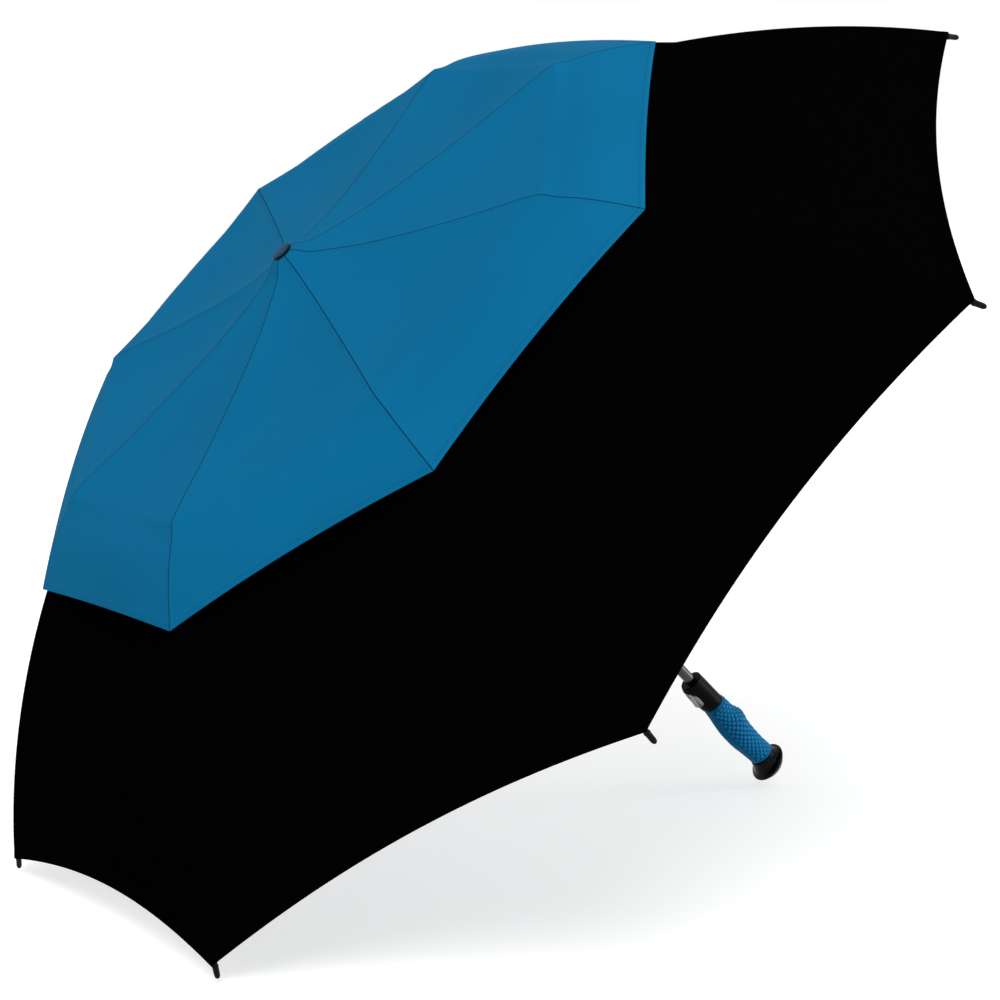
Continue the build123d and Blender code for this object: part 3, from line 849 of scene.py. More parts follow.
@dataclass
class RibLine:
    """The open rib under the cloth: its pivots, its slope and the bow of its outer rod.

    A point is its distance from the shaft and its height. The shoulder's drops are distances
    from the shaft with the depth below the disc's top. The link's shares go from the knee to
    the elbow, each with its share of the extra rise that the cloth has there. The taut rises
    are distances past the elbow with how far the cloth is pulled up over the rod.
    """

    crown: tuple[float, float]
    knee: tuple[float, float]
    elbow: tuple[float, float]
    disc_top: float
    disc_radius: float
    cap_hem: float
    hem_tip: tuple[float, float]
    ribs: int = 8
    link_slope: float = 5.0
    bow: float = 21 * MM
    cap_hole: float = 5.4 * MM
    cap_rise: float = 6.0 * MM
    elbow_rise: float = 9.4 * MM
    hem_rise: float = 8.5 * MM
    lower_rise: float = 3.9 * MM
    lower_skin: float = 0.8 * MM
    lower_count: int = 16
    hem_reach: float = 2.0 * MM
    under_disc: tuple[float, float] = (2.7 * MM, 3.0 * MM)
    shoulder_drops: Line = ((0.030, 0.0125), (0.060, 0.0195), (0.100, 0.027))
    link_shares: Line = ((0, 0), (0.5, 0.25), (0.93, 0.98), (1, 0.9))
    taut_rises: Line = ((0.016, 0.0024), (0.036, 0.0034), (0.062, 0.0026))

    @classmethod
    def from_frame(cls, frame: dict[str, Any]) -> "RibLine":
        """Reads the rib over +X from the frame.

        Args:
            frame: The loaded frame.

        Returns:
            The rib's line.
        """
        joints = joints_of(frame)
        pivots = [joints[f"{name}_hinge_8"]["pos_m"] for name in ("crown", "knee", "elbow")]
        cap, lower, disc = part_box("cap_canopy"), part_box("lower_canopy"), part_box("crown_cap")
        return cls(*[(pivot[0], pivot[2]) for pivot in pivots], disc[1][2], disc[1][0],
                   cap[1][0] + cls.hem_reach, (lower[1][0], lower[0][2] + cls.lower_skin))

    def __post_init__(self) -> None:
        """Works out the bow's circle and the two lines of the cloth."""
        _, fall, half = self.chord_to(self.hem_tip)
        end = off(self.hem_tip, math.degrees(fall + half), 0, -self.lower_rise)
        chord, fall, half = self.chord_to(end)
        self.first_slope, self.last_slope = math.degrees(fall - half), math.degrees(fall + half)
        self.radius = chord / 2 / math.sin(half)
        self.centre = off(self.elbow, self.first_slope, 0, -self.radius)
        self.turn = 2 * math.pi / self.ribs
        self.cap = SmoothLine(self.cap_stations())
        self.lower = SmoothLine(self.lower_stations())

    def chord_to(self, end: tuple[float, float]) -> tuple[float, float, float]:
        """Measures the bow from the elbow to its end.

        Args:
            end: The end.

        Returns:
            The chord's length, its fall and half the bow's turn, in radians.
        """
        chord = math.dist(self.elbow, end)
        fall = math.atan2(self.elbow[1] - end[1], end[0] - self.elbow[0])
        return chord, fall, 2 * math.atan(2 * self.bow / chord)

    def about(self, number: int) -> Matrix:
        """Gives the turn that brings a piece from over +X to over a rib."""
        return Matrix.Rotation(self.turn * number, 4, "Z")

    def on_bow(self, radius: float, rise: float) -> tuple[float, float]:
        """Gives the point over the outer rod at a distance from the shaft."""
        share = min(1.0, (radius - self.centre[0]) / (self.radius + rise))
        return radius, self.centre[1] + (self.radius + rise) * math.cos(math.asin(share))

    def cap_stations(self) -> list[tuple[float, float]]:
        """Lists the vent cap's stations from the crown disc to its hem.

        Returns:
            Distances from the shaft with the cloth's heights.
        """
        line = [(radius, self.disc_top - drop)
                for radius, drop in zip((self.cap_hole, self.disc_radius), self.under_disc)]
        line += [(radius, self.disc_top - drop) for radius, drop in self.shoulder_drops]
        length = math.dist(self.crown, self.knee)
        kick = self.elbow_rise - self.cap_rise
        line += [off(self.knee, self.link_slope, run * length, self.cap_rise + kick * rise)
                 for run, rise in self.link_shares]
        bend = self.elbow[0]
        lobe = self.cap_hem - bend
        settle = (self.hem_rise - self.elbow_rise) / lobe
        line += [self.on_bow(bend + run, self.elbow_rise + settle * run + taut)
                 for run, taut in (*self.taut_rises, (lobe, 0.0))]
        return line

    def lower_stations(self) -> list[tuple[float, float]]:
        """Lists the lower canopy's stations from the vent to the tips."""
        first, last, count = self.elbow[0] + 4 * MM, self.hem_tip[0], self.lower_count
        return [self.on_bow(first + (last - first) * i / count, self.lower_rise) for i in range(count + 1)]


class Layer(Enum):
    """A layer of cloth: the frame node that it stands for and its material slot."""

    CAP = ("cap_canopy", "blue_cloth")
    LOWER = ("lower_canopy", "black_cloth")

    @property
    def node(self) -> str:
        """Gives the frame node that the layer's panels replace."""
        return self.value[0]

    @property
    def slot(self) -> str:
        """Gives the layer's material slot."""
        return self.value[1]


@dataclass(frozen=True)
class Panel:
    """One cut piece of canopy cloth on one rib.

    The name and the body have a place for the rib's number. A panel runs from its first to
    its last station. Each cut is 0 where it follows the gore's chord and 1 where it is
    square to the rib. The hem dips inwards between the ribs, and slant is the cloth's length
    there over its run. The share of its width that it would keep folded, and a lobe's lean,
    are given but not used.
    """

    name: str
    body: str
    layer: Layer
    form: Form
    first: float
    last: float
    rows: int
    keep: float
    side: Side = Side.BOTH
    columns: int = 12
    dip: float = 0.0
    slant: float = 1.0
    cuts: tuple[float, float] = (0.0, 0.0)
    lean: float = 0.0


@dataclass
class Canopy:
    """The two layers of cloth: the vent cap and the canopy below it.

    The sags are stations along the rib, each with how far the cloth hangs in midway to the
    next rib, or stands out where it is below 0.
    """

    rib: RibLine
    split: float = 30 * MM
    shoulder: float = 70 * MM
    vent: float = 330 * MM
    seam_reach: float = 4 * MM
    cap_dip: float = 3.0 * MM
    lower_dip: float = 14 * MM
    cap_sags: Line = ((0.020, 0.0), (0.120, 0.0035), (0.250, 0.0080), (0.310, 0.0060),
                      (0.360, -0.0050), (0.420, -0.0060))
    lower_sags: Line = ((0.330, 0.0100), (0.460, 0.0110), (0.560, 0.0070), (0.640, 0.0070))
    cloth: float = 0.34 * MM
    hem_width: float = 6 * MM
    hem_swell: float = 0.22 * MM
    hem_edge: float = 0.15 * MM
    hem_step: float = 0.8 * MM
    hem_lip: float = 0.4 * MM
    edge_row: float = 0.6 * MM
    edge_column: float = 0.004
    past_bend: int = 6
    crown_hold: float = 0.97
    link_anchor: float = 0.7
    link_keep: float = 0.09
    shoulder_keep: float = 0.27
    lobe_anchor: float = 4 * MM
    lobe_lean: float = 34.0
    lobe_keep: float = 0.03

    def __post_init__(self) -> None:
        """Gathers the lines of both layers and finds the bend of the cap over the elbows."""
        self.lines = {Layer.CAP: self.rib.cap, Layer.LOWER: self.rib.lower}
        self.sags = {Layer.CAP: SmoothLine(self.cap_sags), Layer.LOWER: SmoothLine(self.lower_sags)}
        self.bend = off(self.rib.elbow, self.rib.link_slope, 0, self.rib.cap_rise)[0]

    def height(self, layer: Layer, station: float) -> float:
        """Gives the cloth's height over a rib."""
        return self.lines[layer].height(station)

    def sag(self, layer: Layer, station: float) -> float:
        """Gives how far the cloth hangs in midway between two ribs."""
        return self.sags[layer].height(station)

    def point(self, layer: Layer, station: float, share: float) -> Vector:
        """Gives a point of the cloth on the rib over +X.

        Args:
            layer: The layer of cloth.
            station: Distance from the shaft of the level on the rib.
            share: Share of the way to the next rib, below 0 for the rib on the other side.

        Returns:
            The point.
        """
        turn = self.rib.turn
        way = abs(share)
        height = self.height(layer, station)
        near = polar(station, 0.0, height)
        far = polar(station, turn if share >= 0 else -turn, height)
        step = 1 * MM
        fall = (self.height(layer, station + step) - self.height(layer, station - step)) / 2 / step
        inward = Vector((fall, 0.0, -math.cos(turn / 2))).normalized()
        hang = polar(inward.x, math.copysign(turn / 2, share), inward.z)
        return near.lerp(far, way) + hang * (self.sag(layer, station) * 4 * way * (1 - way))

    def cut_line(self, station: float, share: float, square: float) -> float:
        """Gives a cut's station away from its rib.

        Args:
            station: The station where it crosses the rib.
            share: The column's place.
            square: 0 where the cut follows the gore's chord, 1 where it is square to the rib.

        Returns:
            The station in this column.
        """
        return station / (1 - (1 - math.cos(self.rib.turn)) * abs(share) * square)

    def rows_of(self, panel: Panel, share: float) -> list[tuple[float, float]]:
        """Lists a column's stations and their distance to the hem.

        Args:
            panel: The panel.
            share: The column's place.

        Returns:
            Stations with the distance to the hem, which is long where there is none.
        """
        way = 1 - (1 - 2 * abs(share)) ** 2
        first = self.cut_line(panel.first, share, panel.cuts[0])
        last = self.cut_line(panel.last, share, panel.cuts[1]) - panel.dip * way
        run, close = last - first, self.edge_row
        if panel.dip == 0:
            bend = min(self.bend, last - close)
            low = [first + close + (bend - first - close) * i / panel.rows for i in range(panel.rows)]
            high = [bend + (last - close - bend) * i / self.past_bend for i in range(self.past_bend + 1)]
            inner = [*low, *high] if bend < last - close else [*low, bend]
            return [(station, 1.0) for station in (first, *inner, last)]
        hem = self.hem_width
        edge = [gap / panel.slant for gap in (hem + self.hem_step, hem, 0.5 * hem, self.hem_lip, 0.0)]
        inner = [close + (run - close - edge[0]) * i / panel.rows for i in range(panel.rows)]
        distances = [run - at for at in (0.0, *inner)] + edge
        return [(last - distance, distance * panel.slant) for distance in distances]

    def shares_of(self, panel: Panel) -> list[float]:
        """Lists a panel's columns as shares of a gore.

        Args:
            panel: The panel.

        Returns:
            The shares in rising order, below 0 for the rib's other side.
        """
        half = [0.5 * (i / panel.columns) for i in range(panel.columns + 1)]
        half = [0.0, self.edge_column, *half[1:-1], 0.5 - self.edge_column, 0.5]
        if panel.side is Side.LEFT:
            return half
        if panel.side is Side.RIGHT:
            return [-s for s in reversed(half)]
        return [-s for s in reversed(half[1:])] + half

    def cut(self, panel: Panel) -> tuple[bpy.types.Object, float, tuple[float, float]]:
        """Builds a panel as two layers closed round their rim.

        Args:
            panel: The panel to cut.

        Returns:
            The object over +X, its flat area and its flat width and length.
        """
        shares = self.shares_of(panel)
        grid = [self.rows_of(panel, share) for share in shares]
        points = [[self.point(panel.layer, station, share) for station, _ in column]
                  for share, column in zip(shares, grid)]
        wide, long = len(shares), len(grid[0])
        outer, inner, marks = [], [], []
        for i in range(wide):
            for j in range(long):
                across = points[min(i + 1, wide - 1)][j] - points[max(i - 1, 0)][j]
                down = points[i][min(j + 1, long - 1)] - points[i][max(j - 1, 0)]
                out = down.cross(across).normalized()
                gap = grid[i][j][1]
                swell = self.hem_swell if gap <= self.hem_width + HAIR else 0.0
                swell -= self.hem_edge if gap < HAIR else 0.0
                outer.append(points[i][j] + out * swell)
                inner.append(points[i][j] - out * (self.cloth + swell))
                chord = 2 * grid[i][j][0] * math.sin(math.pi / self.rib.ribs)
                marks.append((abs(shares[i]) * chord, gap, shares[i] * chord, self.run_to(points[i], j)))
        mesh = bpy.data.meshes.new(panel.name)
        mesh.from_pydata([*outer, *inner], [], self.faces_of(wide, long))
        self.mark(mesh, marks + marks)
        area = sum(p.area for p in mesh.polygons) / 2
        flat = (max(m[2] for m in marks) - min(m[2] for m in marks), max(m[3] for m in marks))
        return linked(panel.name, mesh), area, flat

    @staticmethod
    def faces_of(wide: int, long: int) -> list[tuple[int, int, int, int]]:
        """Lists the faces of two layers closed round their rim.

        Args:
            wide: Columns of points in a layer.
            long: Points in a column.

        Returns:
            The faces, where the inner layer's points come after the outer's.
        """
        count = wide * long
        faces = []
        for i in range(wide - 1):
            for j in range(long - 1):
                a, b = i * long + j, (i + 1) * long + j
                faces.append((a, a + 1, b + 1, b))
                faces.append((count + a, count + b, count + b + 1, count + a + 1))
        rim = [i * long for i in range(wide)] + [(wide - 1) * long + j for j in range(1, long)]
        rim += [i * long + long - 1 for i in range(wide - 2, -1, -1)] + list(range(long - 2, 0, -1))
        return faces + [(a, b, count + b, count + a) for a, b in zip(rim, rim[1:] + rim[:1])]

    @staticmethod
    def run_to(column: Sequence[Vector], row: int) -> float:
        """Measures the cloth from a column's top to one of its rows."""
        return sum((column[n + 1] - column[n]).length for n in range(row))

    @staticmethod
    def mark(mesh: bpy.types.Mesh, marks: Sequence[tuple[float, float, float, float]]) -> None:
        """Stores the distances that the cloth's finish reads.

        Args:
            mesh: The panel's mesh.
            marks: For each point the distance to its rib, to its hem, and its place in the weave.
        """
        for name, place in (("seam", 0), ("hem", 1)):
            mesh.attributes.new(name, "FLOAT", "POINT").data.foreach_set("value", [m[place] for m in marks])
        weave = mesh.uv_layers.new(name="Cloth")
        for loop in mesh.loops:
            weave.data[loop.index].uv = marks[loop.vertex_index][2:]

    def patterns(self) -> list[Panel]:
        """Lists the panels of one rib, with places for the rib's number in their names.

        Returns:
            The panels from the crown outwards.
        """
        rib, link = self.rib, self.link_keep
        knee = off(rib.knee, rib.link_slope, 0, rib.cap_rise)[0]
        elbow = self.bend + self.seam_reach
        panels = [
            Panel("crown_gore_{}", "rib_inner_{}", Layer.CAP, Form.CROWN,
                  rib.cap_hole, self.split, rows=7, keep=1.0),
            Panel("cap_shoulder_gore_{}", "rib_inner_{}", Layer.CAP, Form.LINK,
                  self.split, self.shoulder, rows=7, keep=self.shoulder_keep),
            Panel("cap_inner_gore_{}", "rib_inner_{}", Layer.CAP, Form.LINK,
                  self.shoulder, knee, rows=12, keep=link, cuts=(0.0, 1.0)),
            Panel("cap_middle_gore_{}", "rib_middle_{}", Layer.CAP, Form.LINK,
                  knee, elbow, rows=16, keep=link, cuts=(1.0, 1.0)),
        ]
        for side in (Side.LEFT, Side.RIGHT):
            word = side.name.lower()
            lobe = {"keep": self.lobe_keep, "side": side, "lean": self.lobe_lean}
            panels.append(Panel(f"cap_outer_{word}_{{}}", "rib_outer_{}", Layer.CAP, Form.LOBE,
                                elbow, rib.cap_hem, rows=12, dip=self.cap_dip, slant=1.2,
                                cuts=(1.0, 0.0), **lobe))
            panels.append(Panel(f"lower_gore_{word}_{{}}", "rib_outer_{}", Layer.LOWER, Form.LOBE,
                                self.vent, rib.hem_tip[0], rows=26, columns=16, dip=self.lower_dip,
                                slant=1.35, cuts=(0.5, 0.0), **lobe))
        return panels

    def hang(self, obj: bpy.types.Object, panel: Panel, number: int) -> None:
        """Ties a panel to its rib's body so that it moves with it; the crown's panels stay fixed in place.

        Args:
            obj: The panel's object, in place.
            panel: Its pattern.
            number: The rib's number.
        """
        angle = self.rib.turn * number
        body = panel.body.format(number)
        if panel.form is Form.CROWN:
            level = self.height(panel.layer, panel.last)
            tuple(polar(self.rib.disc_radius, angle, level))
            tuple(polar(panel.last * self.crown_hold, angle, level))
            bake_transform(obj)
            return
        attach(obj, body)
        if panel.form is Form.LINK:
            anchor = polar(panel.first, angle, self.link_anchor)
            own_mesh(obj)
            return
        middle = (panel.first + panel.last) / 2
        step = 40 * MM
        drop = self.height(panel.layer, middle - step) - self.height(panel.layer, middle + step)
        slope = math.atan2(drop, 2 * step)
        out = polar(math.sin(slope), angle, math.cos(slope))
        anchor = polar(middle, angle, self.height(panel.layer, middle)) - out * self.lobe_anchor
        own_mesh(obj)

    def build(self, wardrobe: Wardrobe) -> None:
        """Cuts, dresses and hangs every panel.

        Args:
            wardrobe: The finishes.
        """
        for panel in self.patterns():
            master, area, flat = self.cut(panel)
            for number in range(1, self.rib.ribs + 1):
                obj = copied(master, panel.name.format(number), self.rib.about(number))
                smooth(obj)
                wardrobe.dress(obj, panel.layer.slot)
                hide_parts(panel.layer.node)
                self.hang(obj, panel, number)
            bpy.data.objects.remove(master)
            LOG.info("%s: %d panels of %.0f x %.0f mm", panel.name.format("k"), self.rib.ribs,
                     flat[0] * 1000, flat[1] * 1000)


# --- Handle -------------------------------------------------------------------------


@dataclass
class Handle:
    """The rubber grip with its rows of dots, the push button and the end cap.

    Each row of the grip's form is a height, the half depths towards the palm and towards
    the fingers, and the half width, in millimetres. The cap's flare is shares of the way
    down to its rim, and its rim's form is rises above the rim, each with a radius.
    """

    turn: float
    grip_form: tuple[tuple[float, float, float, float], ...] = (
        (44.5, 12.4, 13.4, 12.8),
        (38.5, 13.1, 13.4, 13.0),
        (32.0, 14.0, 13.6, 13.4),
        (24.5, 15.3, 14.3, 13.9),
        (18.5, 16.2, 16.6, 14.3),
        (13.5, 16.8, 17.7, 14.6),
        (8.5, 17.1, 17.1, 14.8),
        (2.5, 17.2, 15.3, 14.8),
        (-5.5, 17.2, 14.1, 14.7),
        (-12.5, 16.8, 13.6, 14.5),
        (-26.5, 15.0, 13.3, 13.8),
        (-36.0, 14.0, 13.7, 13.6),
        (-44.5, 13.2, 14.7, 13.8),
    )
    grip_step: float = 2.6 * MM
    grip_round: float = 0.7 * MM
    sides: int = 64
    corner: float = 35.0
    dot_row: float = 3.75 * MM
    dots_round: int = 16
    dot_sides: int = 8
    dot_rings: int = 6
    dot_radius: float = 2.2 * MM
    dot_height: float = 0.75 * MM
    dot_sink: float = 0.12 * MM
    dot_cut: float = 0.05 * MM
    plain_palm: float = 38.0
    plain_end: float = 3.4 * MM
    palm_fade: float = 12.0
    button_sides: int = 40
    button_lip: float = 1.3 * MM
    button_wall: float = 1.5 * MM
    button_dish: float = 1.4 * MM
    button_round: float = 0.35 * MM
    pad_thick: float = 0.55 * MM
    pad_sink: float = 0.4 * MM
    pad_tuck: float = 0.3 * MM
    pad_round: float = 0.15 * MM
    cap_tilt: float = 12.0
    cap_shift: float = 1.0 * MM
    cap_groove: float = 0.6 * MM
    cap_flare: Line = (
        (0.1, 14.2), (0.22, 14.5), (0.35, 15.0), (0.52, 16.0), (0.7, 17.2), (0.84, 19.0))
    rim_drop: float = 12.5 * MM
    rim_form: Line = (
        (1.5, 20.5), (1.1, 21.2), (0.4, 21.8), (-0.6, 22.0), (-1.7, 21.8), (-2.5, 21.2), (-3.0, 20.4))
    dome_depth: float = 14.0 * MM
    dome_rings: int = 7
    end_drop: float = 12.5 * MM

    @classmethod
    def from_frame(cls, frame: dict[str, Any]) -> "Handle":
        """Reads which way the button faces.

        Args:
            frame: The loaded frame.

        Returns:
            The handle.
        """
        press = joints_of(frame)["button_press"]["axis"]
        return cls(math.atan2(-press[1], -press[0]))

    def __post_init__(self) -> None:
        """Draws the grip's three outlines."""
        rows = [[value * MM for value in row] for row in reversed(self.grip_form)]
        self.lines = [SmoothLine([(row[0], row[side]) for row in rows]) for side in (1, 2, 3)]
        self.bottom, self.top = rows[0][0], rows[-1][0]
        self.turned = Matrix.Rotation(self.turn, 4, "Z")

    def oval(self, height: float, shrink: float = 0.0) -> Oval:
        """Gives the grip's section at a height."""
        palm, fingers, side = (line.height(height) for line in self.lines)
        return Oval(height, (palm - fingers) / 2, (palm + fingers) / 2 - shrink, side - shrink)

    def on_grip(self, height: float, angle: float) -> Vector:
        """Gives a point of the grip's surface.

        Args:
            height: The height along the grip.
            angle: How far round from the palm it is, in radians.

        Returns:
            The point.
        """
        section = self.oval(height)
        depth = section.middle + section.depth * math.cos(angle)
        return Vector((depth, section.side * math.sin(angle), height))

    def hold(self, obj: bpy.types.Object, body: str, slot: str, wardrobe: Wardrobe, *nodes: str,
             finish: str = "") -> None:
        """Turns a finished piece to its place and gives it its body and finish.

        Args:
            obj: The piece, with the palm side over +X.
            body: The body it moves with.
            slot: Its material slot.
            wardrobe: The finishes.
            nodes: The frame nodes that it replaces.
            finish: The finish, where it isn't the slot's own.
        """
        obj.data.transform(self.turned)
        fitted(obj, body, slot, wardrobe, *nodes, corner=self.corner, finish=finish)
        LOG.info("%s: %d faces on %s", obj.name, len(obj.data.polygons), body)

    def dotted(self, point: Vector) -> float:
        """Tells how far a point of the sleeve lies inside the field of dots, which sets how much painted
        shade it gets.

        Args:
            point: The point, with the palm side over +X.

        Returns:
            0 where the sleeve is plain, up to 1 among the dots.
        """
        angle = abs(math.degrees(math.atan2(point.y, point.x)))
        aside = min(1.0, max(0.0, (angle - self.plain_palm + self.palm_fade / 2) / self.palm_fade))
        edge = min(self.top - point.z, point.z - self.bottom)
        return aside * min(1.0, max(0.0, edge / self.plain_end))

    def grip(self, wardrobe: Wardrobe) -> None:
        """Moulds the rubber sleeve, with softened ends and painted shade among its dots.

        Args:
            wardrobe: The finishes.
        """
        soft = self.grip_round
        length = self.top - self.bottom - 2 * soft
        count = round(length / self.grip_step)
        ovals = [self.oval(self.top, soft)]
        ovals += [self.oval(self.top - soft - length * i / count) for i in range(count + 1)]
        ovals.append(self.oval(self.bottom, soft / 2))
        sleeve = mould("grip_sleeve", ovals, self.sides)
        # Stores where the sleeve gets painted shade between the dots.
        dot_shade_field = sleeve.data.attributes.new("dotted", "FLOAT", "POINT")
        dot_shade_field.data.foreach_set("value", [self.dotted(v.co) for v in sleeve.data.vertices])
        self.hold(sleeve, "handle", "grip_rubber", wardrobe, "handle_grip")

    def dot(self) -> bpy.types.Object:
        """Models one low dome with its foot at the origin.

        Returns:
            The dome.
        """
        nothing_selected()
        bpy.ops.mesh.primitive_uv_sphere_add(segments=self.dot_sides, ring_count=self.dot_rings,
                                             radius=self.dot_radius)
        dome = bpy.context.active_object
        cut_below(dome, self.dot_cut)
        bpy.ops.object.mode_set(mode="EDIT")
        bpy.ops.mesh.select_all(action="SELECT")
        bpy.ops.transform.resize(value=(1, 1, (self.dot_height + self.dot_sink) / self.dot_radius),
                                 center_override=(0, 0, 0))
        bpy.ops.transform.translate(value=(0, 0, -self.dot_sink))
        bpy.ops.object.mode_set(mode="OBJECT")
        return dome

    def standing(self, height: float, angle: float) -> Matrix:
        """Gives the place of a dome that stands on the grip.

        Args:
            height: Its height along the grip.
            angle: How far round from the palm it is, in radians.

        Returns:
            Its place and turn.
        """
        spot = self.on_grip(height, angle)
        step, rise = 0.01, 0.2 * MM
        aside = self.on_grip(height, angle + step) - self.on_grip(height, angle - step)
        upwards = self.on_grip(height + rise, angle) - self.on_grip(height - rise, angle)
        out = aside.cross(upwards).normalized()
        aside = aside.normalized()
        turn = Matrix((aside, out.cross(aside), out)).transposed().to_4x4()
        return Matrix.Translation(spot) @ turn

    def dots(self, wardrobe: Wardrobe) -> None:
        """Sets the dots in staggered rows round the grip, all but on the palm's side.

        Args:
            wardrobe: The finishes.
        """
        master = self.dot()
        rows = int((self.top - self.bottom - 2 * self.plain_end) / self.dot_row)
        first = (self.top + self.bottom - rows * self.dot_row) / 2
        copies = []
        for row in range(rows + 1):
            for number in range(self.dots_round):
                angle = 2 * math.pi * (number + 0.5 * (row % 2)) / self.dots_round
                if abs(math.remainder(angle, 2 * math.pi)) < math.radians(self.plain_palm):
                    continue
                copies.append(copied(master, "dot", self.standing(first + row * self.dot_row, angle)))
        bpy.data.objects.remove(master)
        # The dots take a lighter tint of the same rubber, a painted highlight.
        self.hold(joined("grip_dots", copies), "handle", "grip_rubber", wardrobe, finish="grip_dots")

    def pill(self, name: str, spot: tuple[float, float], thick: float, wide: float,
             long: float) -> bpy.types.Object:
        """Models an upright pill that faces +X.

        Args:
            name: The piece's name.
            spot: The back's distance from the shaft and the middle's height.
            thick: Its thickness.
            wide: Its width.
            long: Its length.

        Returns:
            The piece.
        """
        nothing_selected()
        bpy.ops.mesh.primitive_cylinder_add(vertices=self.button_sides, radius=wide / 2, depth=thick,
                                            location=(spot[0] + thick / 2, 0, spot[1]),
                                            rotation=(0, math.pi / 2, 0))
        obj = bpy.context.active_object
        obj.name = name
        bpy.ops.object.transform_apply(location=True, rotation=True, scale=True)
        off_middle = 0.05 * wide / 2
        for way in (1, -1):
            bpy.ops.object.mode_set(mode="EDIT")
            bpy.ops.mesh.select_all(action="DESELECT")
            bpy.ops.mesh.select_mode(type="VERT")
            bpy.ops.object.mode_set(mode="OBJECT")
            for vertex in obj.data.vertices:
                vertex.select = way * (vertex.co.z - spot[1]) > off_middle
            bpy.ops.object.mode_set(mode="EDIT")
            bpy.ops.transform.translate(value=(0, 0, way * (long - wide) / 2))
        bpy.ops.object.mode_set(mode="OBJECT")
        return obj

    def button(self, frame: dict[str, Any], wardrobe: Wardrobe) -> None:
        """Models the push button's lipped shell and the dished pad in it.

        Args:
            frame: The loaded frame.
            wardrobe: The finishes.
        """
        back = self.turned.inverted()
        points = [back @ v.co for v in frame["nodes"]["release_button"].data.vertices]
        low, high = (Vector(pick(p[i] for p in points) for i in range(3)) for pick in (min, max))
        size, middle = high - low, (low.z + high.z) / 2
        shell = self.pill("button_shell", (low.x, middle), size.x, size.y, size.z)
        face = max(shell.data.polygons, key=lambda p: p.center.x)
        shell.data.polygons.foreach_set("select", [p == face for p in shell.data.polygons])
        bpy.ops.object.mode_set(mode="EDIT")
        bpy.ops.mesh.select_mode(type="FACE")
        bpy.ops.mesh.inset(thickness=self.button_lip, depth=0)
        bpy.ops.mesh.inset(thickness=self.button_wall, depth=-self.button_dish)
        bpy.ops.object.mode_set(mode="OBJECT")
        rounded(shell, self.button_round)
        self.hold(shell, "button", "button_grey", wardrobe, "release_button")
        inset = 2 * (self.button_lip + self.button_wall) - self.pad_tuck
        pad = self.pill("button_pad", (high.x - self.button_dish - self.pad_sink, middle), self.pad_thick,
                        size.y - inset, size.z - inset)
        rounded(pad, self.pad_round, 2)
        self.hold(pad, "button", "button_grey", wardrobe, finish="button_pad")

    def end_cap(self, wardrobe: Wardrobe) -> None:
        """Moulds the flared and tilted cap, and cuts the flat it stands on.

        Args:
            wardrobe: The finishes.
        """
        lean, groove = math.radians(self.cap_tilt), self.cap_groove

        def bent(share: float, radius: float) -> Oval:
            """Gives a round section on the bent neck."""
            return Oval.round(self.bottom - share * self.rim_drop, radius, share * self.cap_shift,
                              share * self.cap_tilt)

        def straight(rise: float, radius: float) -> Oval:
            """Gives a round section on the tilted end."""
            return Oval.round(self.bottom - self.rim_drop + rise * math.cos(lean), radius,
                              self.cap_shift + rise * math.sin(lean), self.cap_tilt)

        neck = self.oval(self.bottom, groove)
        ovals = [neck, replace(neck, height=self.bottom - groove)]
        ovals += [bent(share, radius * MM) for share, radius in self.cap_flare]
        ovals += [straight(rise * MM, radius * MM) for rise, radius in self.rim_form]
        below, wide = -self.rim_form[-1][0] * MM, self.rim_form[-1][1] * MM
        bulge = self.dome_depth - below
        ball = (wide**2 + bulge**2) / (2 * bulge)
        for ring in range(1, self.dome_rings + 1):
            angle = math.asin(wide / ball) * (1 - ring / (self.dome_rings + 0.5))
            ovals.append(straight(-self.dome_depth + ball * (1 - math.cos(angle)), ball * math.sin(angle)))
        cap = mould("end_cap", ovals, self.sides)
        cut_below(cap, self.bottom - self.rim_drop - self.end_drop)
        self.hold(cap, "handle", "black_gloss", wardrobe, "handle_end_cap", finish="end_plastic")

    def build(self, frame: dict[str, Any], wardrobe: Wardrobe) -> None:
        """Models every piece of the handle.

        Args:
            frame: The loaded frame.
            wardrobe: The finishes.
        """
        self.grip(wardrobe)
        self.dots(wardrobe)
        self.button(frame, wardrobe)
        self.end_cap(wardrobe)


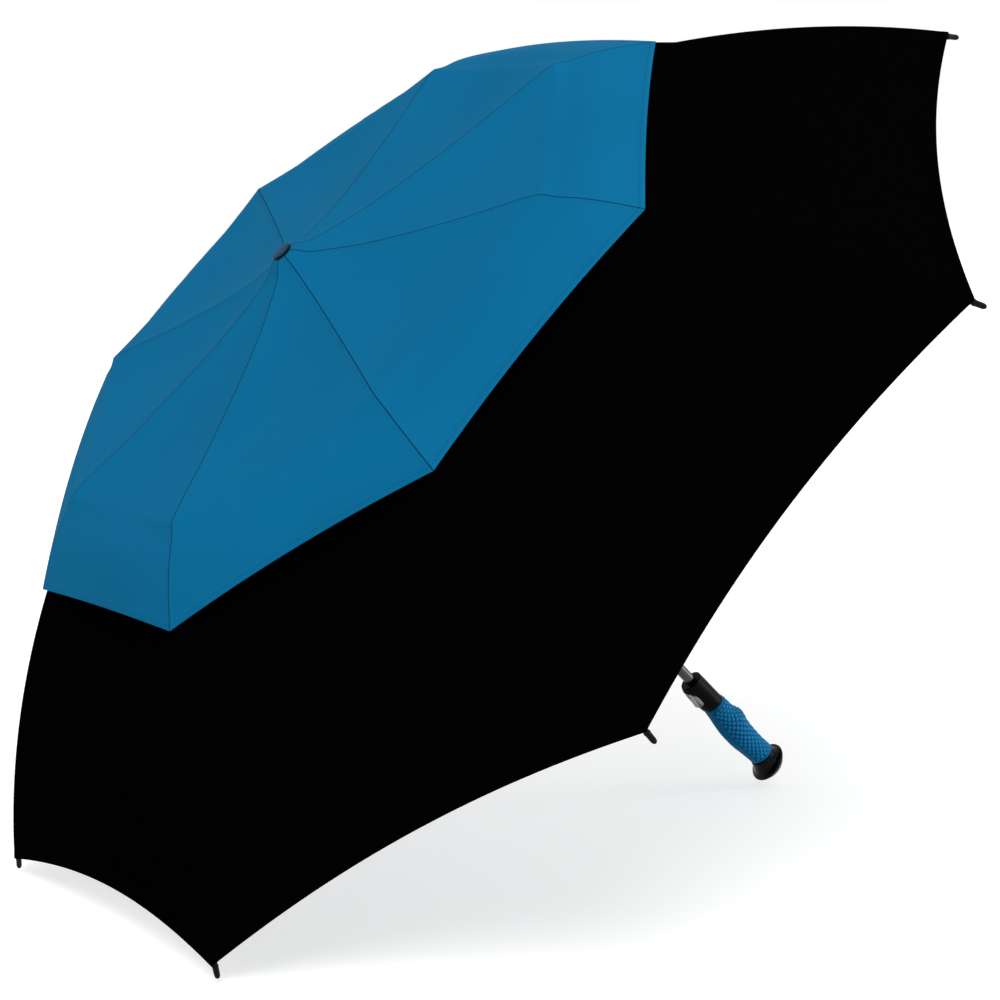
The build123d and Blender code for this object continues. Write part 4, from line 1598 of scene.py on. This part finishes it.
@dataclass
class Springs:
    """The long opening spring in the shaft and the two short ones behind the button."""

    wire: float = 0.4 * MM
    sides: int = 6
    pitch: float = 4.6 * MM
    steps: int = 12
    corner: float = 60.0

    def opening(self, wardrobe: Wardrobe) -> None:
        """Winds the opening spring.

        Args:
            wardrobe: The finishes.
        """
        low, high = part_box("opening_spring")
        length = high[2] - low[2]
        turns = round((length - 2 * self.wire) / self.pitch)
        nothing_selected()
        bpy.ops.mesh.primitive_circle_add(vertices=self.sides, radius=self.wire,
                                          rotation=(math.pi / 2, 0, 0),
                                          location=(high[0] - self.wire, 0, low[2] + self.wire))
        coil = bpy.context.active_object
        coil.name = "opening_coil"
        bpy.ops.object.transform_apply(location=True, rotation=True, scale=True)
        screw = coil.modifiers.new("turns", "SCREW")
        screw.axis, screw.iterations, screw.steps, screw.render_steps = "Z", turns, self.steps, self.steps
        screw.screw_offset = (length - 2 * self.wire) / turns
        bpy.ops.object.modifier_apply(modifier=screw.name)
        bpy.ops.object.mode_set(mode="EDIT")
        bpy.ops.mesh.select_all(action="SELECT")
        bpy.ops.mesh.fill_holes(sides=0)
        bpy.ops.mesh.select_all(action="SELECT")
        bpy.ops.mesh.normals_make_consistent(inside=False)
        bpy.ops.object.mode_set(mode="OBJECT")
        self.fit(coil, "opening_spring", wardrobe)

    def behind_button(self, frame: dict[str, Any], joint: dict[str, Any], wardrobe: Wardrobe) -> None:
        """Copies the button's two springs.

        Args:
            frame: The loaded frame.
            joint: The button's sliding joint.
            wardrobe: The finishes.
        """
        coils = linked("button_coils", frame["nodes"]["button_springs"].data.copy())
        press = Vector(joint["axis"])
        along = [press.dot(v.co) for v in coils.data.vertices]
        self.fit(coils, "button_springs", wardrobe)

    def fit(self, coil: bpy.types.Object, node: str,
            wardrobe: Wardrobe) -> None:
        """Seats a spring on the handle in place of its frame node.

        Args:
            coil: The spring.
            node: The frame node that it replaces.
            wardrobe: The finishes.
        """
        fitted(coil, "handle", "steel", wardrobe, node, corner=self.corner)
        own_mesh(coil)

    def build(self, frame: dict[str, Any], wardrobe: Wardrobe) -> None:
        """Makes every spring.

        Args:
            frame: The loaded frame.
            wardrobe: The finishes.
        """
        joints = joints_of(frame)
        self.opening(wardrobe)
        self.behind_button(frame, joints["button_press"], wardrobe)


@dataclass
class TipCups:
    """The moulded cups that close the ribs' ends and hold the hem's corners.

    The sections are heights above the cup's middle, each with a radius, in millimetres.
    """

    rib: RibLine
    reach: float = 17.0 * MM
    sides: int = 20
    corner: float = 50.0
    sections: Line = (
        (7.0, 2.3), (6.5, 2.75), (1.4, 2.85), (1.1, 3.3), (-0.5, 3.3), (-0.9, 2.95),
        (-8.0, 2.8), (-9.6, 2.45), (-10.8, 1.7), (-11.5, 0.6))

    def cup(self) -> bpy.types.Object:
        """Moulds the cup of the rib over +X, in its place.

        Returns:
            The cup.
        """
        low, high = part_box("rib_tip_8")
        radius = (high[1] - low[1]) / 2
        slope = math.radians(self.rib.last_slope)
        along = Vector((math.cos(slope), 0.0, -math.sin(slope)))
        corner = Vector((high[0] - radius, 0.0, low[2] + radius)) - along * (self.reach - radius)
        rings = [Oval.round(height * MM, radius * MM) for height, radius in self.sections]
        cup = mould("cup", rings, self.sides)
        cup.data.transform(Matrix.Translation(corner) @ Matrix.Rotation(slope - math.pi / 2, 4, "Y"))
        return cup

    def build(self, wardrobe: Wardrobe) -> None:
        """Sets one cup on each rib's end.

        Args:
            wardrobe: The finishes.
        """
        master = self.cup()
        for number in range(1, self.rib.ribs + 1):
            cup = copied(master, f"tip_cup_{number}", self.rib.about(number))
            fitted(cup, f"rib_outer_{number}", "tips", wardrobe, f"rib_tip_{number}", corner=self.corner)
        bpy.data.objects.remove(master)
        LOG.info("tip cups: %d", self.rib.ribs)


@dataclass
class CrownButton:
    """The low round button on the crown, black with a blue top.

    The edge is drops below the top, each with how much smaller the disc is there. The
    cover is rises above the top, each with its radius. All are in millimetres.
    """

    radius: float = 10.5 * MM
    thick: float = 2.4 * MM
    stem: float = 3.2 * MM
    sides: int = 48
    corner: float = 35.0
    edge: Line = ((0.0, 0.5), (0.15, 0.2), (0.5, 0.0), (1.9, 0.0), (2.25, 0.2), (2.4, 0.6))
    cover: Line = ((0.12, 4.65), (0.08, 9.0), (-0.1, 9.3))

    def build(self, wardrobe: Wardrobe) -> None:
        """Moulds the disc on its stem, and the cover let into it.

        Args:
            wardrobe: The finishes.
        """
        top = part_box("crown_cap")[1][2]
        rings = [Oval.round(top - drop * MM, self.radius - less * MM) for drop, less in self.edge]
        rings += [Oval.round(top - self.thick * times, self.stem) for times in (1, 5)]
        disc = mould("crown_disc", rings, self.sides)
        cover = mould("crown_inlay", [Oval.round(top + rise * MM, wide * MM) for rise, wide in self.cover],
                      self.sides)
        for obj, slot in ((disc, "black_plastic"), (cover, "blue_plastic")):
            fitted(obj, "mast", slot, wardrobe, "crown_cap", corner=self.corner)
        LOG.info("crown button: %.0f mm across", 2000 * self.radius)


# --- Studio -------------------------------------------------------------------------


@dataclass
class Studio:
    """The floor that the umbrella rests on, the lights and the camera.

    The camera's right, top and back are its own axes, and the two lamps are placed along
    them. The up direction is the floor's, on which the open umbrella lies on its side.
    """

    up: tuple[float, float, float] = (0.615, -0.255, 0.7466)
    eye: tuple[float, float, float] = (-1.7957, -2.1466, 1.7540)
    right: tuple[float, float, float] = (0.36411, -0.69284, -0.62242)
    top: tuple[float, float, float] = (0.73342, -0.19859, 0.65011)
    back: tuple[float, float, float] = (-0.57403, -0.69321, 0.43583)
    lens: float = 108.47
    sensor: float = 36.0
    far: float = 50.0
    floor_size: float = 14.0
    floor_tint: Tint = Tint(208, 208, 208)
    floor_glow: float = 0.63
    ambient: float = 0.56
    sun_power: float = 1.5
    sun_spread: float = 30.0
    sun_from: tuple[float, float, float] = (-0.05, 0.62, 0.78)
    strip_power: float = 1.6
    strip_spread: float = 40.0
    strip_from: tuple[float, float, float] = (0.97, 0.17, 0.13)
    rests: tuple[str, ...] = ("rib_tip_3", "rib_tip_4", "handle_end_cap")

    def camera(self) -> None:
        """Places the camera and makes it the scene's."""
        data = bpy.data.cameras.new("camera")
        data.lens, data.sensor_width, data.clip_end = self.lens, self.sensor, self.far
        obj = bpy.data.objects.new("camera", data)
        turn = Matrix((self.right, self.top, self.back)).transposed()
        obj.matrix_world = Matrix.Translation(self.eye) @ turn.to_4x4()
        bpy.context.scene.collection.objects.link(obj)
        bpy.context.scene.camera = obj

    def floor(self, rests: Sequence[bpy.types.Object]) -> None:
        """Lays the floor under the lowest points of the given pieces.

        Args:
            rests: What the umbrella stands on.
        """
        up = Vector(self.up).normalized()
        level = min(up.dot(v.co) for obj in rests for v in obj.data.vertices)
        nothing_selected()
        bpy.ops.mesh.primitive_plane_add(size=self.floor_size)
        obj = bpy.context.active_object
        obj.name = "floor"
        turn = up.to_track_quat("Z", "Y").to_matrix().to_4x4()
        obj.matrix_world = Matrix.Translation(up * level) @ turn
        obj.data.materials.append(FloorFinish("studio_floor", self.floor_tint, self.floor_glow).make())

    def sky(self) -> None:
        """Sets the even sky, which the camera sees as white."""
        world = bpy.data.worlds.new("studio")
        world.use_nodes = True
        bpy.context.scene.world = world
        tree = world.node_tree
        tree.nodes.clear()
        paths = tree.nodes.new("ShaderNodeLightPath")
        sky, white = tree.nodes.new("ShaderNodeBackground"), tree.nodes.new("ShaderNodeBackground")
        for shade in (sky, white):
            shade.inputs["Color"].default_value = WHITE
        sky.inputs["Strength"].default_value = self.ambient
        white.inputs["Strength"].default_value = 1.0
        pick, out = tree.nodes.new("ShaderNodeMixShader"), tree.nodes.new("ShaderNodeOutputWorld")
        seen = paths.outputs["Is Camera Ray"]
        for other in ("Is Glossy Ray", "Is Transmission Ray"):
            either = tree.nodes.new("ShaderNodeMath")
            either.operation = "MAXIMUM"
            tree.links.new(seen, either.inputs[0])
            tree.links.new(paths.outputs[other], either.inputs[1])
            seen = either.outputs[0]
        tree.links.new(seen, pick.inputs[0])
        tree.links.new(sky.outputs[0], pick.inputs[1])
        tree.links.new(white.outputs[0], pick.inputs[2])
        tree.links.new(pick.outputs[0], out.inputs["Surface"])

    def lights(self) -> None:
        """Hangs a wide soft sun and a strip from the right."""
        self.sun("sun", self.sun_from, self.sun_power, self.sun_spread)
        self.sun("strip", self.strip_from, self.strip_power, self.strip_spread)

    def sun(self, name: str, side: tuple[float, float, float], power: float, spread: float) -> None:
        """Hangs one soft sun.

        Args:
            name: The lamp's name.
            side: Where its light comes from, along the camera's right, top and back.
            power: Its strength.
            spread: Its width in degrees.
        """
        lamp = bpy.data.lights.new(name, "SUN")
        lamp.energy, lamp.angle = power, math.radians(spread)
        obj = bpy.data.objects.new(name, lamp)
        toward = Vector(self.right) * side[0] + Vector(self.top) * side[1] + Vector(self.back) * side[2]
        obj.rotation_euler = toward.to_track_quat("Z", "Y").to_euler()
        bpy.context.scene.collection.objects.link(obj)

    def build(self, frame: dict[str, Any]) -> None:
        """Sets up the whole studio.

        Args:
            frame: The loaded frame.
        """
        self.camera()
        self.floor([frame["nodes"][name] for name in self.rests])
        self.sky()
        self.lights()
        bpy.context.scene.view_settings.view_transform = "Standard"
        LOG.info("studio ready")


def main() -> None:
    """Builds the umbrella and its studio on the frame."""
    logging.basicConfig(level=logging.INFO, format="%(name)s: %(message)s")
    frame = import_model()
    Studio().build(frame)
    wardrobe = Wardrobe()
    wardrobe.dress_nodes(frame)
    rib = RibLine.from_frame(frame)
    Canopy(rib).build(wardrobe)
    TipCups(rib).build(wardrobe)
    Springs().build(frame, wardrobe)
    Handle.from_frame(frame).build(frame, wardrobe)
    CrownButton().build(wardrobe)


if __name__ == "__main__":
    main()
